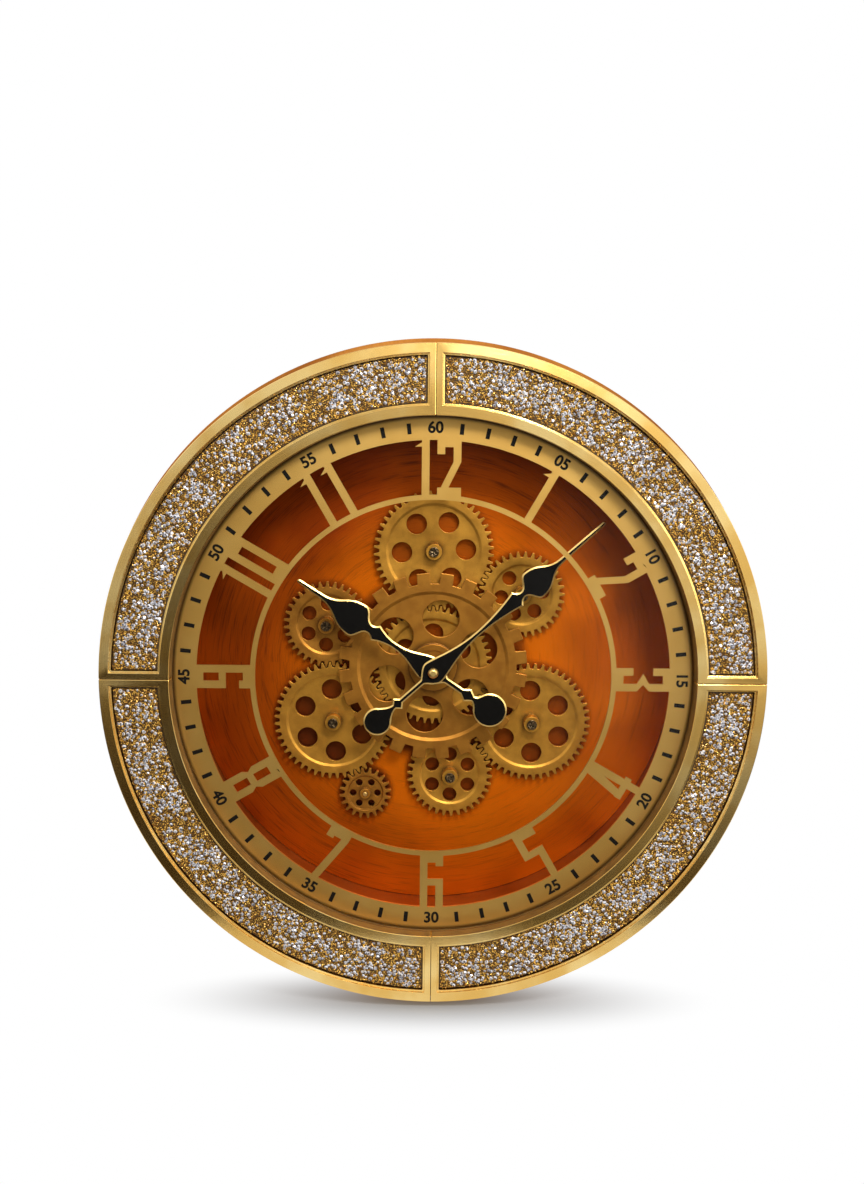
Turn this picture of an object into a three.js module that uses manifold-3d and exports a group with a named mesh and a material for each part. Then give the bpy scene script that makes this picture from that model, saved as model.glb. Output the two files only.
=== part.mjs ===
// Gear wall clock: a round case whose gold bezel is four quarter frames filled with crushed crystal,
// a cut chapter ring with skeleton numerals, and an open train of turning gears over a copper plate.
// Millimetres, +Z up. The dial looks along -Y and the origin is on the wall behind the dial's centre.
// Pieces are shaped in a dial frame: x to the right, y up, z from the wall towards the viewer.
import * as THREE from 'three';
import Module from 'manifold-3d';
import { mergeVertices } from 'three/addons/utils/BufferGeometryUtils.js';

const wasm = await Module();
wasm.setup();

// Case and bezel radii
const CASE_RADIUS = 300;
const CASE_WALL = 3;
const BEZEL_STEP = 6;
const BEZEL_WIDTH = 61.8;
const OUTER_BAND = 9;
const INNER_BAND = 9;
const DIVIDER_HALF = 5.75;
const SEAM_GAP = 0.3;

// Depths, from the wall forwards
const PANEL_THICKNESS = 4;
const REAR_CAVITY = 18;
const PLATE_THICKNESS = 2;
const GEAR_STANDOFF = 5;
const GEAR_THICKNESS = 5;
const BRIDGE_STANDOFF = 15;
const BRIDGE_THICKNESS = 4;
const HAND_STANDOFF = 25;
const HAND_THICKNESS = 2;
const HAND_SPACING = 3;
const RING_STANDOFF = 75.5;
const RING_THICKNESS = 2;
const GLASS_STANDOFF = 2.5;
const GLASS_THICKNESS = 2.7;
const BEZEL_THICKNESS = 13;

// Bezel trays and crystal beds
const TRAY_FLOOR = 3;
const LIP_DEPTH = 2;
const LIP_WIDTH = 1.5;
const BED_THICKNESS = 6;
const BED_RELIEF = 1.6;
const BED_CLEARANCE = 0.6;
const BED_ROWS = 3;
const BED_COLUMNS = 12;
const LUMP_ROW_STEP = 12.9;
const LUMP_COLUMN_STEP = 7.23;

// Case hoop and the drum inside it
const TAPER_LENGTH = 23;
const FLANGE_THICKNESS = 3;
const FLANGE_CLEARANCE = 1.3;
const REAR_FLANGE_WIDTH = 13;
const REAR_FLANGE_THICKNESS = 4;
const PANEL_CLEARANCE = 0.5;
const DRUM_COVER = 3.8;
const DRUM_WALL = 7;
const LEDGE_WIDTH = 5;
const REBATE_WIDTH = 3.6;

// Chapter ring
const TRACK_WIDTH = 21;
const NUMERAL_HEIGHT = 47.7;
const INNER_RING_WIDTH = 4.6;
const NUMERAL_ROOT = 1.5;
const DIGIT_WIDTH = 21;
const STROKE = 6.8;
const BAR = 6.2;
const FLAG = 6;
const FIRST_INVERTED = 4;
const LAST_INVERTED = 8;
const PAIR_FIRST = -8.5;
const PAIR_SECOND = 12.2;
const TWO_DROP = 12.4;
const TWO_RUN = 19;
const THREE_DROP = 15;
const THREE_WAIST = 5.5;
const THREE_POINT = -5.5;
const THREE_NOTCH = 4.5;
const FOUR_STEM = 4.5;
const FOUR_BAR_HEIGHT = 9.6;
const FOUR_APEX = -4;
const FIVE_BAR_HEIGHT = 23;
const SIX_BAR_HEIGHT = 20;
const SIX_DROP = 9.6;
const SEVEN_DROP = 9;
const SEVEN_FOOT = -0.7;
const EIGHT_NOTCH = 5;
const EIGHT_PINCH = 3;

// Gear train
const GEAR_MODULE = 2.25;
const BIG_TEETH = 48;
const IDLER_TEETH = 34;
const PINION_TEETH = 20;
const ADDENDUM = 1;
const DEDENDUM = 1.25;
const TOOTH_TIP_SHARE = 0.24;
const TOOTH_ROOT_SHARE = 0.6;
const IDLER_CIRCLE = 107;
const PINION_DIRECTION = -66.8;
const SUN_TURN = 90;
const TRAIN = [
  { name: 'top', direction: 90, holeTurn: 63, idlerHoleTurn: 8 },
  { name: 'left', direction: 210, holeTurn: 33.7, idlerHoleTurn: 27.5 },
  { name: 'right', direction: 330, holeTurn: 32, idlerHoleTurn: 30 },
];
const RIM_WIDTH = 6.5;
const PINION_RIM_WIDTH = 2.6;
const WEB_RECESS = 1.2;
const GEAR_HUB_RADIUS = 7.4;
const GEAR_HUB_HEIGHT = 11;
const SUN_HUB_RADIUS = 12;
const SUN_HUB_HEIGHT = 4;
const PINION_HUB_RADIUS = 5;
const PINION_HUB_HEIGHT = 3;
const LIGHTENING_HOLES = 6;
const BIG_HOLE = { radius: 9.6, circle: 30 };
const IDLER_HOLE = { radius: 6.6, circle: 19.5 };
const PINION_HOLE = { radius: 3.2, circle: 11.6 };
const RUNNING_GAP = 0.4;
const FIT_GAP = 0.3;

// Posts, screws and pillars of the train
const POST_RADIUS = 4;
const POST_SHOULDER_RADIUS = 7;
const POST_SCREW_RADIUS = 4.7;
const POST_SCREW_HEIGHT = 2.2;
const CROSS_LENGTH = 5.6;
const CROSS_WIDTH = 1.3;
const CROSS_DEPTH = 1;
const PILLAR_RADIUS = 4;
const PILLAR_CIRCLE = 72;
const PILLAR_DIRECTION = 127;

// Cog-edged bridge plate
const BRIDGE_TEETH = 24;
const BRIDGE_TIP_RADIUS = 88.5;
const BRIDGE_ROOT_RADIUS = 78.5;
const BRIDGE_TIP_SHARE = 0.52;
const BRIDGE_ROOT_SHARE = 0.62;
const BRIDGE_TURN = -8.5;
const BRIDGE_RECESS_RADIUS = 69.7;
const BRIDGE_RECESS = 1.2;
const BRIDGE_HOLE = { radius: 17.2, circle: 45.9 };
const BRIDGE_HOLE_TURN = 21;
const BRIDGE_BOSS_RADIUS = 22;
const BRIDGE_BOSS_HEIGHT = 4;

// Hand centre
const TUBE_RADIUS = 7;
const TUBE_WALL = 1.7;
const TUBE_SHOULDER_RADIUS = 11;
const TUBE_FRONT_GAP = 4;
const PIPE_RADIUS = 4.8;
const PIPE_WALL = 1.6;
const ARBOR_RADIUS = 2.8;
const ARBOR_END = 2.5;
const NUT_RADIUS = 4.8;
const NUT_HEIGHT = 4.2;
const REST_HOUR = 10;
const REST_MINUTE = 8;
const HOUR_DEGREES = 30;
const MINUTE_DEGREES = 6;

// Hour hand and minute hand, with half widths: the tip stops short of a ring, and the stem takes what is
// left of the reach
const HOUR_HAND = {
  tipGap: 9.3, needleLength: 25.7, bladeLength: 39.5, neckLength: 20.7, barbLength: 6.2, hub: 12.5,
  shoulder: 17, waist: 2.8, waistAt: 43, barb: 8, neck: 4.3, blade: 16, needle: 2.5, tip: 1.8,
  tailAt: 63.3, tail: 15.6, tailStem: 2.7, tailBarb: 6.6, tailBarbAt: 38.3, tailBarbLength: 12,
};
const MINUTE_HAND = {
  tipGap: 3.9, needleLength: 51.9, bladeLength: 33.5, neckLength: 19.7, barbLength: 6.7, hub: 11.4,
  shoulder: 8, waist: 2.2, waistAt: 54, barb: 8, neck: 3.1, blade: 14, needle: 2.4, tip: 1.7,
  tailAt: 68.5, tail: 12.7, tailStem: 2.4, tailBarb: 6.3, tailBarbAt: 43.3, tailBarbLength: 8.4,
};

// Movement, gear motor and their batteries behind the copper plate
const MOVEMENT_SIDE = 56;
const MOVEMENT_DROP = 14;
const MOVEMENT_GAP = 0.6;
const MOVEMENT_WINDOW = { width: 60, height: 35, below: 9 };
const CELL_RADIUS = 7.1;
const CELL_LENGTH = 49;
const CELL_NUB_RADIUS = 2.7;
const CELL_NUB = 1.5;
const CELL_CLEARANCE = 0.4;
const BAY_WALL = 2.5;
const KNOB_RADIUS = 5.5;
const KNOB_INSET = 1;
const KNOB_X = 16;
const KNOB_BELOW = 15.5;
const MOTOR_RADIUS = 12.5;
const MOTOR_LENGTH = 15.5;
const SHAFT_RADIUS = 2;
const SHAFT_END = 1.5;
const BOX_X = 80;
const BOX_Y = -130;
const BOX_WALL = 1.8;
const DOOR_RIM = 1;
const DOOR_INSET = 0.4;
const SWITCH_Y = -104;
const SWITCH_BODY = { width: 20, height: 9, depth: 6 };
const SWITCH_SLOT = { width: 12, height: 5 };
const SLIDER_LENGTH = 5;
const SLIDER_INSET = 0.5;
const SLIDER_REST = -2;

// Hanger and back screws
const HANGER = { width: 50, height: 34, thickness: 1.5, below: 35 };
const KEYHOLE_RADIUS = 5.5;
const KEYHOLE_SLOT = 5;
const KEYHOLE_BELOW = 6;
const KEYHOLE_RISE = 12;
const HANGER_WINDOW = { width: 16, height: 28 };
const BACK_SCREWS = 4;
const BACK_SCREW_HEAD = 3.8;
const BACK_SCREW_HEAD_HEIGHT = 1.4;
const BACK_SCREW_RADIUS = 1.7;
const BACK_SCREW_SINK = 0.3;
const BACK_SCREW_TIP = 0.5;
const BACK_SCREW_FLOOR = 2;

// Facets round a circle
const LARGE_ROUND = 48;
const GEAR_ROUND = 20;
const SMALL_ROUND = 12;
const HOLE_ROUND = 8;
const QUARTER_ROUND = 16;
const QUARTER_TURN = 90;
const CURVE_STEPS = 6;
const MERGE_TOLERANCE = 1e-4;
const CUT_OVERRUN = 1;

// Faces of the stack, worked out from the depths
const panelFront = PANEL_THICKNESS;
const plateBack = panelFront + REAR_CAVITY;
const plateFront = plateBack + PLATE_THICKNESS;
const gearBack = plateFront + GEAR_STANDOFF;
const gearFront = gearBack + GEAR_THICKNESS;
const gearHubFront = gearFront + GEAR_HUB_HEIGHT;
const bridgeBack = plateFront + BRIDGE_STANDOFF;
const bridgeFront = bridgeBack + BRIDGE_THICKNESS;
const hourHandBack = bridgeFront + HAND_STANDOFF;
const hourHandFront = hourHandBack + HAND_THICKNESS;
const minuteHandBack = hourHandFront + HAND_SPACING;
const minuteHandFront = minuteHandBack + HAND_THICKNESS;
const ringBack = plateFront + RING_STANDOFF;
const ringFront = ringBack + RING_THICKNESS;
const glassBack = ringFront + GLASS_STANDOFF;
const glassFront = glassBack + GLASS_THICKNESS;
const bezelBack = glassFront + FIT_GAP;
const bezelFront = bezelBack + BEZEL_THICKNESS;
const trayFloorFront = bezelBack + TRAY_FLOOR;

// Radii that follow from the driving sizes
const caseInnerRadius = CASE_RADIUS - CASE_WALL;
const panelRadius = caseInnerRadius - PANEL_CLEARANCE;
const bezelRadius = CASE_RADIUS - BEZEL_STEP;
const bezelInnerRadius = bezelRadius - BEZEL_WIDTH;
const drumRadius = bezelInnerRadius + DRUM_COVER;
const drumBore = drumRadius - DRUM_WALL;
const rebateBore = drumBore + REBATE_WIDTH;
const ringRadius = rebateBore - FIT_GAP;
const trackInnerRadius = ringRadius - TRACK_WIDTH;
const innerRingRadius = trackInnerRadius - NUMERAL_HEIGHT;
const innerRingBore = innerRingRadius - INNER_RING_WIDTH;
const numeralCircle = innerRingRadius + NUMERAL_HEIGHT / 2;
const backScrewCircle = caseInnerRadius - REAR_FLANGE_WIDTH / 2;
const postBore = POST_RADIUS + RUNNING_GAP;
const tubeBore = TUBE_RADIUS - TUBE_WALL;
const pipeBore = PIPE_RADIUS - PIPE_WALL;
const hangerY = caseInnerRadius - HANGER.below;
const keyholeY = hangerY - KEYHOLE_BELOW;

// Surface looks
const GOLD = { color: 0xc8a050, roughness: 0.28, metalness: 1 };
const MATT_GOLD = { color: 0xb08a45, roughness: 0.5, metalness: 1 };
const BRASS = { color: 0xa07830, roughness: 0.42, metalness: 1 };
const COPPER = { color: 0xa8500f, roughness: 0.3, metalness: 1 };
const CASE_COPPER = { color: 0x9a5526, roughness: 0.45, metalness: 0.8 };
const CRYSTAL = { color: 0xd8d0c0, roughness: 0.15, metalness: 0.2 };
const GLASS = { color: 0xf4f8fa, roughness: 0.05, metalness: 0, transparent: true, opacity: 0.2 };
const BLACK = { color: 0x12100e, roughness: 0.4, metalness: 0.1 };
const DARK_STEEL = { color: 0x54524e, roughness: 0.4, metalness: 1 };
const STEEL = { color: 0xb8b8b4, roughness: 0.35, metalness: 1 };
const BLACK_BOARD = { color: 0x1c1a18, roughness: 0.8, metalness: 0 };
const BLACK_PLASTIC = { color: 0x191919, roughness: 0.5, metalness: 0 };
const RED_PLASTIC = { color: 0xa32020, roughness: 0.5, metalness: 0 };
const CELL_SKIN = { color: 0x2f6b3a, roughness: 0.4, metalness: 0.3 };

// A closed geometry becomes a solid that can be joined and cut.
function solidFrom(geometry) {
  geometry.deleteAttribute('normal');
  geometry.deleteAttribute('uv');
  const merged = mergeVertices(geometry, MERGE_TOLERANCE);
  const corners = merged.index.array;
  const kept = [];
  for (let i = 0; i < corners.length; i += 3) {
    const [a, b, c] = corners.subarray(i, i + 3);
    if (a !== b && b !== c && c !== a) {
      kept.push(a, b, c);
    }
  }
  return new wasm.Manifold(new wasm.Mesh({
    numProp: 3,
    vertProperties: new Float32Array(merged.attributes.position.array),
    triVerts: new Uint32Array(kept),
  }));
}

function geometryFrom(solid) {
  const { vertProperties, triVerts } = solid.getMesh();
  const geometry = new THREE.BufferGeometry();
  geometry.setAttribute('position', new THREE.BufferAttribute(vertProperties, 3));
  geometry.setIndex(new THREE.BufferAttribute(triVerts, 1));
  geometry.computeVertexNormals();
  return geometry;
}

// A full circle or a curve has twice the given steps, so round shapes name their facets.
function extrude(shape, back, front, facets = SMALL_ROUND) {
  const options = { depth: front - back, bevelEnabled: false, curveSegments: facets / 2 };
  const geometry = new THREE.ExtrudeGeometry(shape, options);
  geometry.translate(0, 0, back);
  return solidFrom(geometry);
}

function polygon(points) {
  return new THREE.Shape(points.map(([x, y]) => new THREE.Vector2(x, y)));
}

function rectangle(left, bottom, right, top) {
  return polygon([[left, bottom], [right, bottom], [right, top], [left, top]]);
}

function box(width, height, back, front, x = 0, y = 0) {
  return extrude(rectangle(x - width / 2, y - height / 2, x + width / 2, y + height / 2), back, front);
}

function disc(radius, back, front, facets = SMALL_ROUND, x = 0, y = 0) {
  const shape = new THREE.Shape();
  shape.absarc(x, y, radius, 0, 2 * Math.PI);
  return extrude(shape, back, front, facets);
}

// Cutters that run past both faces of what they cut
function drill(radius, back, front, facets = SMALL_ROUND, x = 0, y = 0) {
  return disc(radius, back - CUT_OVERRUN, front + CUT_OVERRUN, facets, x, y);
}

function slot(width, height, back, front, x = 0, y = 0) {
  return box(width, height, back - CUT_OVERRUN, front + CUT_OVERRUN, x, y);
}

function ring(outer, inner, back, front, facets) {
  return disc(outer, back, front, facets).subtract(drill(inner, back, front, facets));
}

// The profile lists radius and depth, counter-clockwise, and closes on itself.
function turned(profile, facets) {
  const points = profile.map(([radius, z]) => new THREE.Vector2(radius, z));
  points.push(points[0].clone());
  const geometry = new THREE.LatheGeometry(points, facets);
  geometry.rotateX(Math.PI / 2);
  return solidFrom(geometry);
}

function polar(radius, degrees) {
  const angle = THREE.MathUtils.degToRad(degrees);
  return { x: radius * Math.cos(angle), y: radius * Math.sin(angle) };
}

const dial = new THREE.Group();
dial.rotation.x = Math.PI / 2;

function addPiece(name, solid, look, place = { x: 0, y: 0 }, turnDegrees = 0) {
  const mesh = new THREE.Mesh(geometryFrom(solid), new THREE.MeshStandardMaterial(look));
  mesh.name = name;
  mesh.position.set(place.x, place.y, 0);
  mesh.rotation.z = THREE.MathUtils.degToRad(turnDegrees);
  dial.add(mesh);
  return mesh;
}

// Case hoop: a copper drum that tapers to the bezel, with a front flange and a rear screw flange.
function caseHoop() {
  const flangeBack = bezelBack - FLANGE_THICKNESS;
  const taperBack = bezelBack - TAPER_LENGTH;
  const flangeBore = drumRadius + FLANGE_CLEARANCE;
  const rearFlangeFront = panelFront + REAR_FLANGE_THICKNESS;
  const rearFlangeBore = caseInnerRadius - REAR_FLANGE_WIDTH;
  let hoop = turned([
    [CASE_RADIUS, 0], [CASE_RADIUS, taperBack], [bezelRadius, bezelBack], [flangeBore, bezelBack],
    [flangeBore, flangeBack], [bezelRadius - CASE_WALL, flangeBack], [caseInnerRadius, taperBack],
    [caseInnerRadius, rearFlangeFront], [rearFlangeBore, rearFlangeFront], [rearFlangeBore, panelFront],
    [caseInnerRadius, panelFront], [caseInnerRadius, 0],
  ], LARGE_ROUND);
  for (const spot of backScrewSpots) {
    const bore = BACK_SCREW_RADIUS + FIT_GAP;
    hoop = hoop.subtract(drill(bore, panelFront, rearFlangeFront, SMALL_ROUND, spot.x, spot.y));
  }
  return hoop;
}

const backScrewSpots = Array.from({ length: BACK_SCREWS }, (_, i) => (
  polar(backScrewCircle, (i + 0.5) * 360 / BACK_SCREWS)
));

// Drum: gold inner wall. Ledges inside it carry the copper plate and the chapter ring.
function dialDrum() {
  return turned([
    [drumRadius, panelFront], [drumRadius, glassBack], [rebateBore, glassBack], [rebateBore, ringBack],
    [drumBore, ringBack], [drumBore, plateBack], [drumBore - LEDGE_WIDTH, plateBack],
    [drumBore - LEDGE_WIDTH, panelFront],
  ], LARGE_ROUND);
}

// A quarter of a flat ring whose straight ends stand off both axes by the inset.
function quarterShape(inner, outer, inset) {
  const outerStart = Math.asin(inset / outer);
  const innerStart = Math.asin(inset / inner);
  const shape = new THREE.Shape();
  shape.absarc(0, 0, outer, outerStart, Math.PI / 2 - outerStart, false);
  shape.absarc(0, 0, inner, Math.PI / 2 - innerStart, innerStart, true);
  return shape;
}

const trayOuter = bezelRadius - OUTER_BAND;
const trayInner = bezelInnerRadius + INNER_BAND;
const trayInset = SEAM_GAP / 2 + DIVIDER_HALF;

// Bezel quarter: gold frame round a stepped tray.
function bezelQuarter() {
  const block = quarterShape(bezelInnerRadius, bezelRadius, SEAM_GAP / 2);
  const lip = quarterShape(trayInner, trayOuter, trayInset);
  const tray = quarterShape(trayInner + LIP_WIDTH, trayOuter - LIP_WIDTH, trayInset + LIP_WIDTH);
  return extrude(block, bezelBack, bezelFront, QUARTER_ROUND)
    .subtract(extrude(lip, bezelFront - LIP_DEPTH, bezelFront + CUT_OVERRUN, QUARTER_ROUND))
    .subtract(extrude(tray, trayFloorFront, bezelFront + CUT_OVERRUN, QUARTER_ROUND));
}

// Crystal bed: crushed stone set in the tray, with an uneven broken top.
function crystalBed(seed) {
  const inner = trayInner + LIP_WIDTH + BED_CLEARANCE;
  const outer = trayOuter - LIP_WIDTH - BED_CLEARANCE;
  const inset = trayInset + LIP_WIDTH + BED_CLEARANCE;
  const positions = [];
  const faces = [];
  const perLayer = (BED_ROWS + 1) * (BED_COLUMNS + 1);
  for (const top of [false, true]) {
    for (let row = 0; row <= BED_ROWS; row += 1) {
      const radius = THREE.MathUtils.lerp(inner, outer, row / BED_ROWS);
      const start = Math.asin(inset / radius);
      for (let column = 0; column <= BED_COLUMNS; column += 1) {
        const angle = THREE.MathUtils.lerp(start, Math.PI / 2 - start, column / BED_COLUMNS);
        const lump = Math.sin((row + seed) * LUMP_ROW_STEP + column * LUMP_COLUMN_STEP) * BED_RELIEF / 2;
        const z = top ? trayFloorFront + BED_THICKNESS + lump : trayFloorFront;
        positions.push(radius * Math.cos(angle), radius * Math.sin(angle), z);
      }
    }
  }
  const at = (layer, row, column) => layer * perLayer + row * (BED_COLUMNS + 1) + column;
  const quad = (a, b, c, d) => faces.push(a, b, c, a, c, d);
  for (let row = 0; row < BED_ROWS; row += 1) {
    for (let column = 0; column < BED_COLUMNS; column += 1) {
      quad(at(1, row, column), at(1, row + 1, column), at(1, row + 1, column + 1), at(1, row, column + 1));
      quad(at(0, row, column), at(0, row, column + 1), at(0, row + 1, column + 1), at(0, row + 1, column));
    }
    quad(at(0, row, 0), at(0, row + 1, 0), at(1, row + 1, 0), at(1, row, 0));
    const end = BED_COLUMNS;
    quad(at(0, row + 1, end), at(0, row, end), at(1, row, end), at(1, row + 1, end));
  }
  for (let column = 0; column < BED_COLUMNS; column += 1) {
    const far = BED_ROWS;
    quad(at(0, 0, column + 1), at(0, 0, column), at(1, 0, column), at(1, 0, column + 1));
    quad(at(0, far, column), at(0, far, column + 1), at(1, far, column + 1), at(1, far, column));
  }
  const geometry = new THREE.BufferGeometry();
  geometry.setAttribute('position', new THREE.Float32BufferAttribute(positions, 3));
  geometry.setIndex(faces);
  return solidFrom(geometry);
}

// Skeleton digits: upright outlines about their own centre, reaching into the rings above and below.
const left = -DIGIT_WIDTH / 2;
const right = DIGIT_WIDTH / 2;
const top = NUMERAL_HEIGHT / 2;
const bottom = -NUMERAL_HEIGHT / 2;
const reachTop = top + NUMERAL_ROOT;
const reachBottom = bottom - NUMERAL_ROOT;
const topBar = rectangle(left, top - BAR, right, reachTop);
const bottomBar = rectangle(left, reachBottom, right, bottom + BAR);
const leftStroke = rectangle(left, reachBottom, left + STROKE, reachTop);
const rightStroke = rectangle(right - STROKE, reachBottom, right, reachTop);

function crossBar(height) {
  return rectangle(left, bottom + height, right, bottom + height + BAR);
}

function waistSide(side) {
  const outer = side * right;
  const inner = side * (right - STROKE);
  return polygon([
    [outer, reachBottom], [outer, -EIGHT_NOTCH], [outer - side * EIGHT_PINCH, 0], [outer, EIGHT_NOTCH],
    [outer, reachTop], [inner, reachTop], [inner, reachBottom],
  ]);
}

const digits = {
  0: [leftStroke, rightStroke, topBar, bottomBar],
  1: [
    rectangle(-STROKE / 2, reachBottom, STROKE / 2, reachTop),
    polygon([[0, top], [-STROKE / 2 - FLAG, top - FLAG], [0, top - FLAG]]),
  ],
  2: [
    rectangle(left, top - TWO_DROP, left + STROKE, reachTop), topBar, bottomBar,
    rectangle(right - STROKE, top - TWO_RUN, right, reachTop),
    polygon([
      [right - STROKE, top - TWO_RUN], [left, bottom], [left, reachBottom], [left + STROKE, bottom],
      [right, top - TWO_RUN], [right, top - BAR],
    ]),
  ],
  3: [
    rectangle(left, top - THREE_DROP, left + STROKE, reachTop), topBar, bottomBar,
    rectangle(left, reachBottom, left + STROKE, bottom + THREE_DROP),
    polygon([
      [right, reachBottom], [right, -THREE_WAIST], [THREE_NOTCH, 0], [right, THREE_WAIST],
      [right, reachTop], [right - STROKE, reachTop], [right - STROKE, THREE_WAIST], [THREE_POINT, 0],
      [right - STROKE, -THREE_WAIST], [right - STROKE, reachBottom],
    ]),
  ],
  4: [
    rectangle(FOUR_STEM - STROKE / 2, reachBottom, FOUR_STEM + STROKE / 2, reachTop),
    crossBar(FOUR_BAR_HEIGHT),
    polygon([
      [left, bottom + FOUR_BAR_HEIGHT + BAR / 2], [left + STROKE, bottom + FOUR_BAR_HEIGHT + BAR / 2],
      [FOUR_STEM, top], [FOUR_STEM, reachTop], [FOUR_APEX, reachTop], [FOUR_APEX, top],
    ]),
  ],
  5: [
    topBar, crossBar(FIVE_BAR_HEIGHT), rectangle(left, bottom + FIVE_BAR_HEIGHT, left + STROKE, reachTop),
    rectangle(right - STROKE, reachBottom, right, bottom + FIVE_BAR_HEIGHT + BAR),
  ],
  6: [
    leftStroke, topBar, crossBar(SIX_BAR_HEIGHT),
    rectangle(right - STROKE, top - SIX_DROP, right, reachTop),
    rectangle(right - STROKE, reachBottom, right, bottom + SIX_BAR_HEIGHT + BAR),
  ],
  7: [
    topBar, rectangle(left, top - SEVEN_DROP, left + STROKE, reachTop),
    polygon([
      [right - STROKE, top - BAR], [SEVEN_FOOT - STROKE / 2, reachBottom],
      [SEVEN_FOOT + STROKE / 2, reachBottom], [right, top - BAR], [right, reachTop],
      [right - STROKE, reachTop],
    ]),
  ],
  8: [
    waistSide(-1), waistSide(1), topBar, bottomBar,
    rectangle(left + EIGHT_PINCH, -BAR / 2, right - EIGHT_PINCH, BAR / 2),
  ],
  9: [
    rightStroke, topBar, bottomBar, rectangle(left, reachBottom, left + STROKE, bottom + SIX_DROP),
    rectangle(left, top - SIX_BAR_HEIGHT - BAR, left + STROKE, reachTop),
    rectangle(left, top - SIX_BAR_HEIGHT - BAR, right, top - SIX_BAR_HEIGHT),
  ],
};

function numeralSolids(hour) {
  const inverted = hour >= FIRST_INVERTED && hour <= LAST_INVERTED;
  const characters = String(hour);
  const offsets = characters.length > 1 ? [PAIR_FIRST, PAIR_SECOND] : [0];
  const turn = THREE.MathUtils.degToRad(-hour * HOUR_DEGREES);
  const solids = [];
  offsets.forEach((offset, i) => {
    for (const shape of digits[characters[i]]) {
      const depth = RING_THICKNESS;
      const geometry = new THREE.ExtrudeGeometry(shape, { depth, bevelEnabled: false });
      geometry.translate(offset, 0, ringBack);
      geometry.rotateZ(inverted ? Math.PI : 0);
      geometry.translate(0, numeralCircle, 0);
      geometry.rotateZ(turn);
      solids.push(solidFrom(geometry));
    }
  });
  return solids;
}

// Chapter ring: minute track, thin inner ring and the twelve numerals, cut from one sheet.
function chapterRing() {
  let sheet = ring(ringRadius, trackInnerRadius, ringBack, ringFront, LARGE_ROUND);
  sheet = sheet.add(ring(innerRingRadius, innerRingBore, ringBack, ringFront, LARGE_ROUND));
  for (let hour = 1; hour <= 12; hour += 1) {
    for (const solid of numeralSolids(hour)) {
      sheet = sheet.add(solid);
    }
  }
  return sheet;
}

// Straight-sided teeth with room between the flanks. The first tooth points along +X.
function toothedShape(teeth, rootRadius, tipRadius, rootShare, tipShare) {
  const pitch = 360 / teeth;
  const points = [];
  for (let tooth = 0; tooth < teeth; tooth += 1) {
    const corners = [
      [rootRadius, -rootShare], [tipRadius, -tipShare], [tipRadius, tipShare], [rootRadius, rootShare],
    ];
    for (const [radius, share] of corners) {
      const { x, y } = polar(radius, (tooth + share / 2) * pitch);
      points.push([x, y]);
    }
  }
  return polygon(points);
}

function pitchRadius(teeth) {
  return teeth * GEAR_MODULE / 2;
}

// Gear: toothed rim, thinner web with round holes, and a hub standing forward round the bore.
function gear({ teeth, rim, hole, holeTurn, hub, hubHeight, bore }) {
  const root = pitchRadius(teeth) - DEDENDUM * GEAR_MODULE;
  const tip = pitchRadius(teeth) + ADDENDUM * GEAR_MODULE;
  const shape = toothedShape(teeth, root, tip, TOOTH_ROOT_SHARE, TOOTH_TIP_SHARE);
  let body = extrude(shape, gearBack, gearFront);
  body = body.subtract(disc(root - rim, gearFront - WEB_RECESS, gearFront + CUT_OVERRUN, GEAR_ROUND));
  for (let i = 0; i < LIGHTENING_HOLES; i += 1) {
    const spot = polar(hole.circle, holeTurn + i * 360 / LIGHTENING_HOLES);
    body = body.subtract(drill(hole.radius, gearBack, gearFront, HOLE_ROUND, spot.x, spot.y));
  }
  const hubFront = gearFront + hubHeight;
  body = body.add(disc(hub, gearFront - 2 * WEB_RECESS, hubFront, SMALL_ROUND));
  return body.subtract(drill(bore, gearBack, hubFront, SMALL_ROUND));
}

// Turns a gear so that its teeth fall between those of the gear that it meshes with.
function meshTurn(driver, teeth, direction) {
  const driverOffset = (driver.turn - direction) / (360 / driver.teeth);
  return direction + 180 + (360 / teeth) * (0.5 - driverOffset);
}

function directionTo(from, to) {
  return THREE.MathUtils.radToDeg(Math.atan2(to.y - from.y, to.x - from.x));
}

// The three large gears ride round the sun gear, and each drives one idler a little further on.
const planetCircle = 2 * pitchRadius(BIG_TEETH);
const idlerDistance = pitchRadius(BIG_TEETH) + pitchRadius(IDLER_TEETH);
const idlerLead = THREE.MathUtils.radToDeg(Math.acos(
  (planetCircle ** 2 + IDLER_CIRCLE ** 2 - idlerDistance ** 2) / (2 * planetCircle * IDLER_CIRCLE),
));
const sun = { place: { x: 0, y: 0 }, teeth: BIG_TEETH, turn: SUN_TURN };
const planets = TRAIN.map((entry) => {
  const place = polar(planetCircle, entry.direction);
  const turn = meshTurn(sun, BIG_TEETH, entry.direction);
  const planet = { ...entry, place, teeth: BIG_TEETH, turn };
  const idlerPlace = polar(IDLER_CIRCLE, entry.direction - idlerLead);
  const idlerTurn = meshTurn(planet, IDLER_TEETH, directionTo(place, idlerPlace));
  return { ...planet, idler: { place: idlerPlace, turn: idlerTurn } };
});
const drivenPlanet = planets.find((planet) => planet.name === 'left');
const pinionOffset = polar(pitchRadius(BIG_TEETH) + pitchRadius(PINION_TEETH), PINION_DIRECTION);
const pinionPlace = {
  x: drivenPlanet.place.x + pinionOffset.x,
  y: drivenPlanet.place.y + pinionOffset.y,
};
const pinionTurn = meshTurn(drivenPlanet, PINION_TEETH, PINION_DIRECTION);

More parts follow.
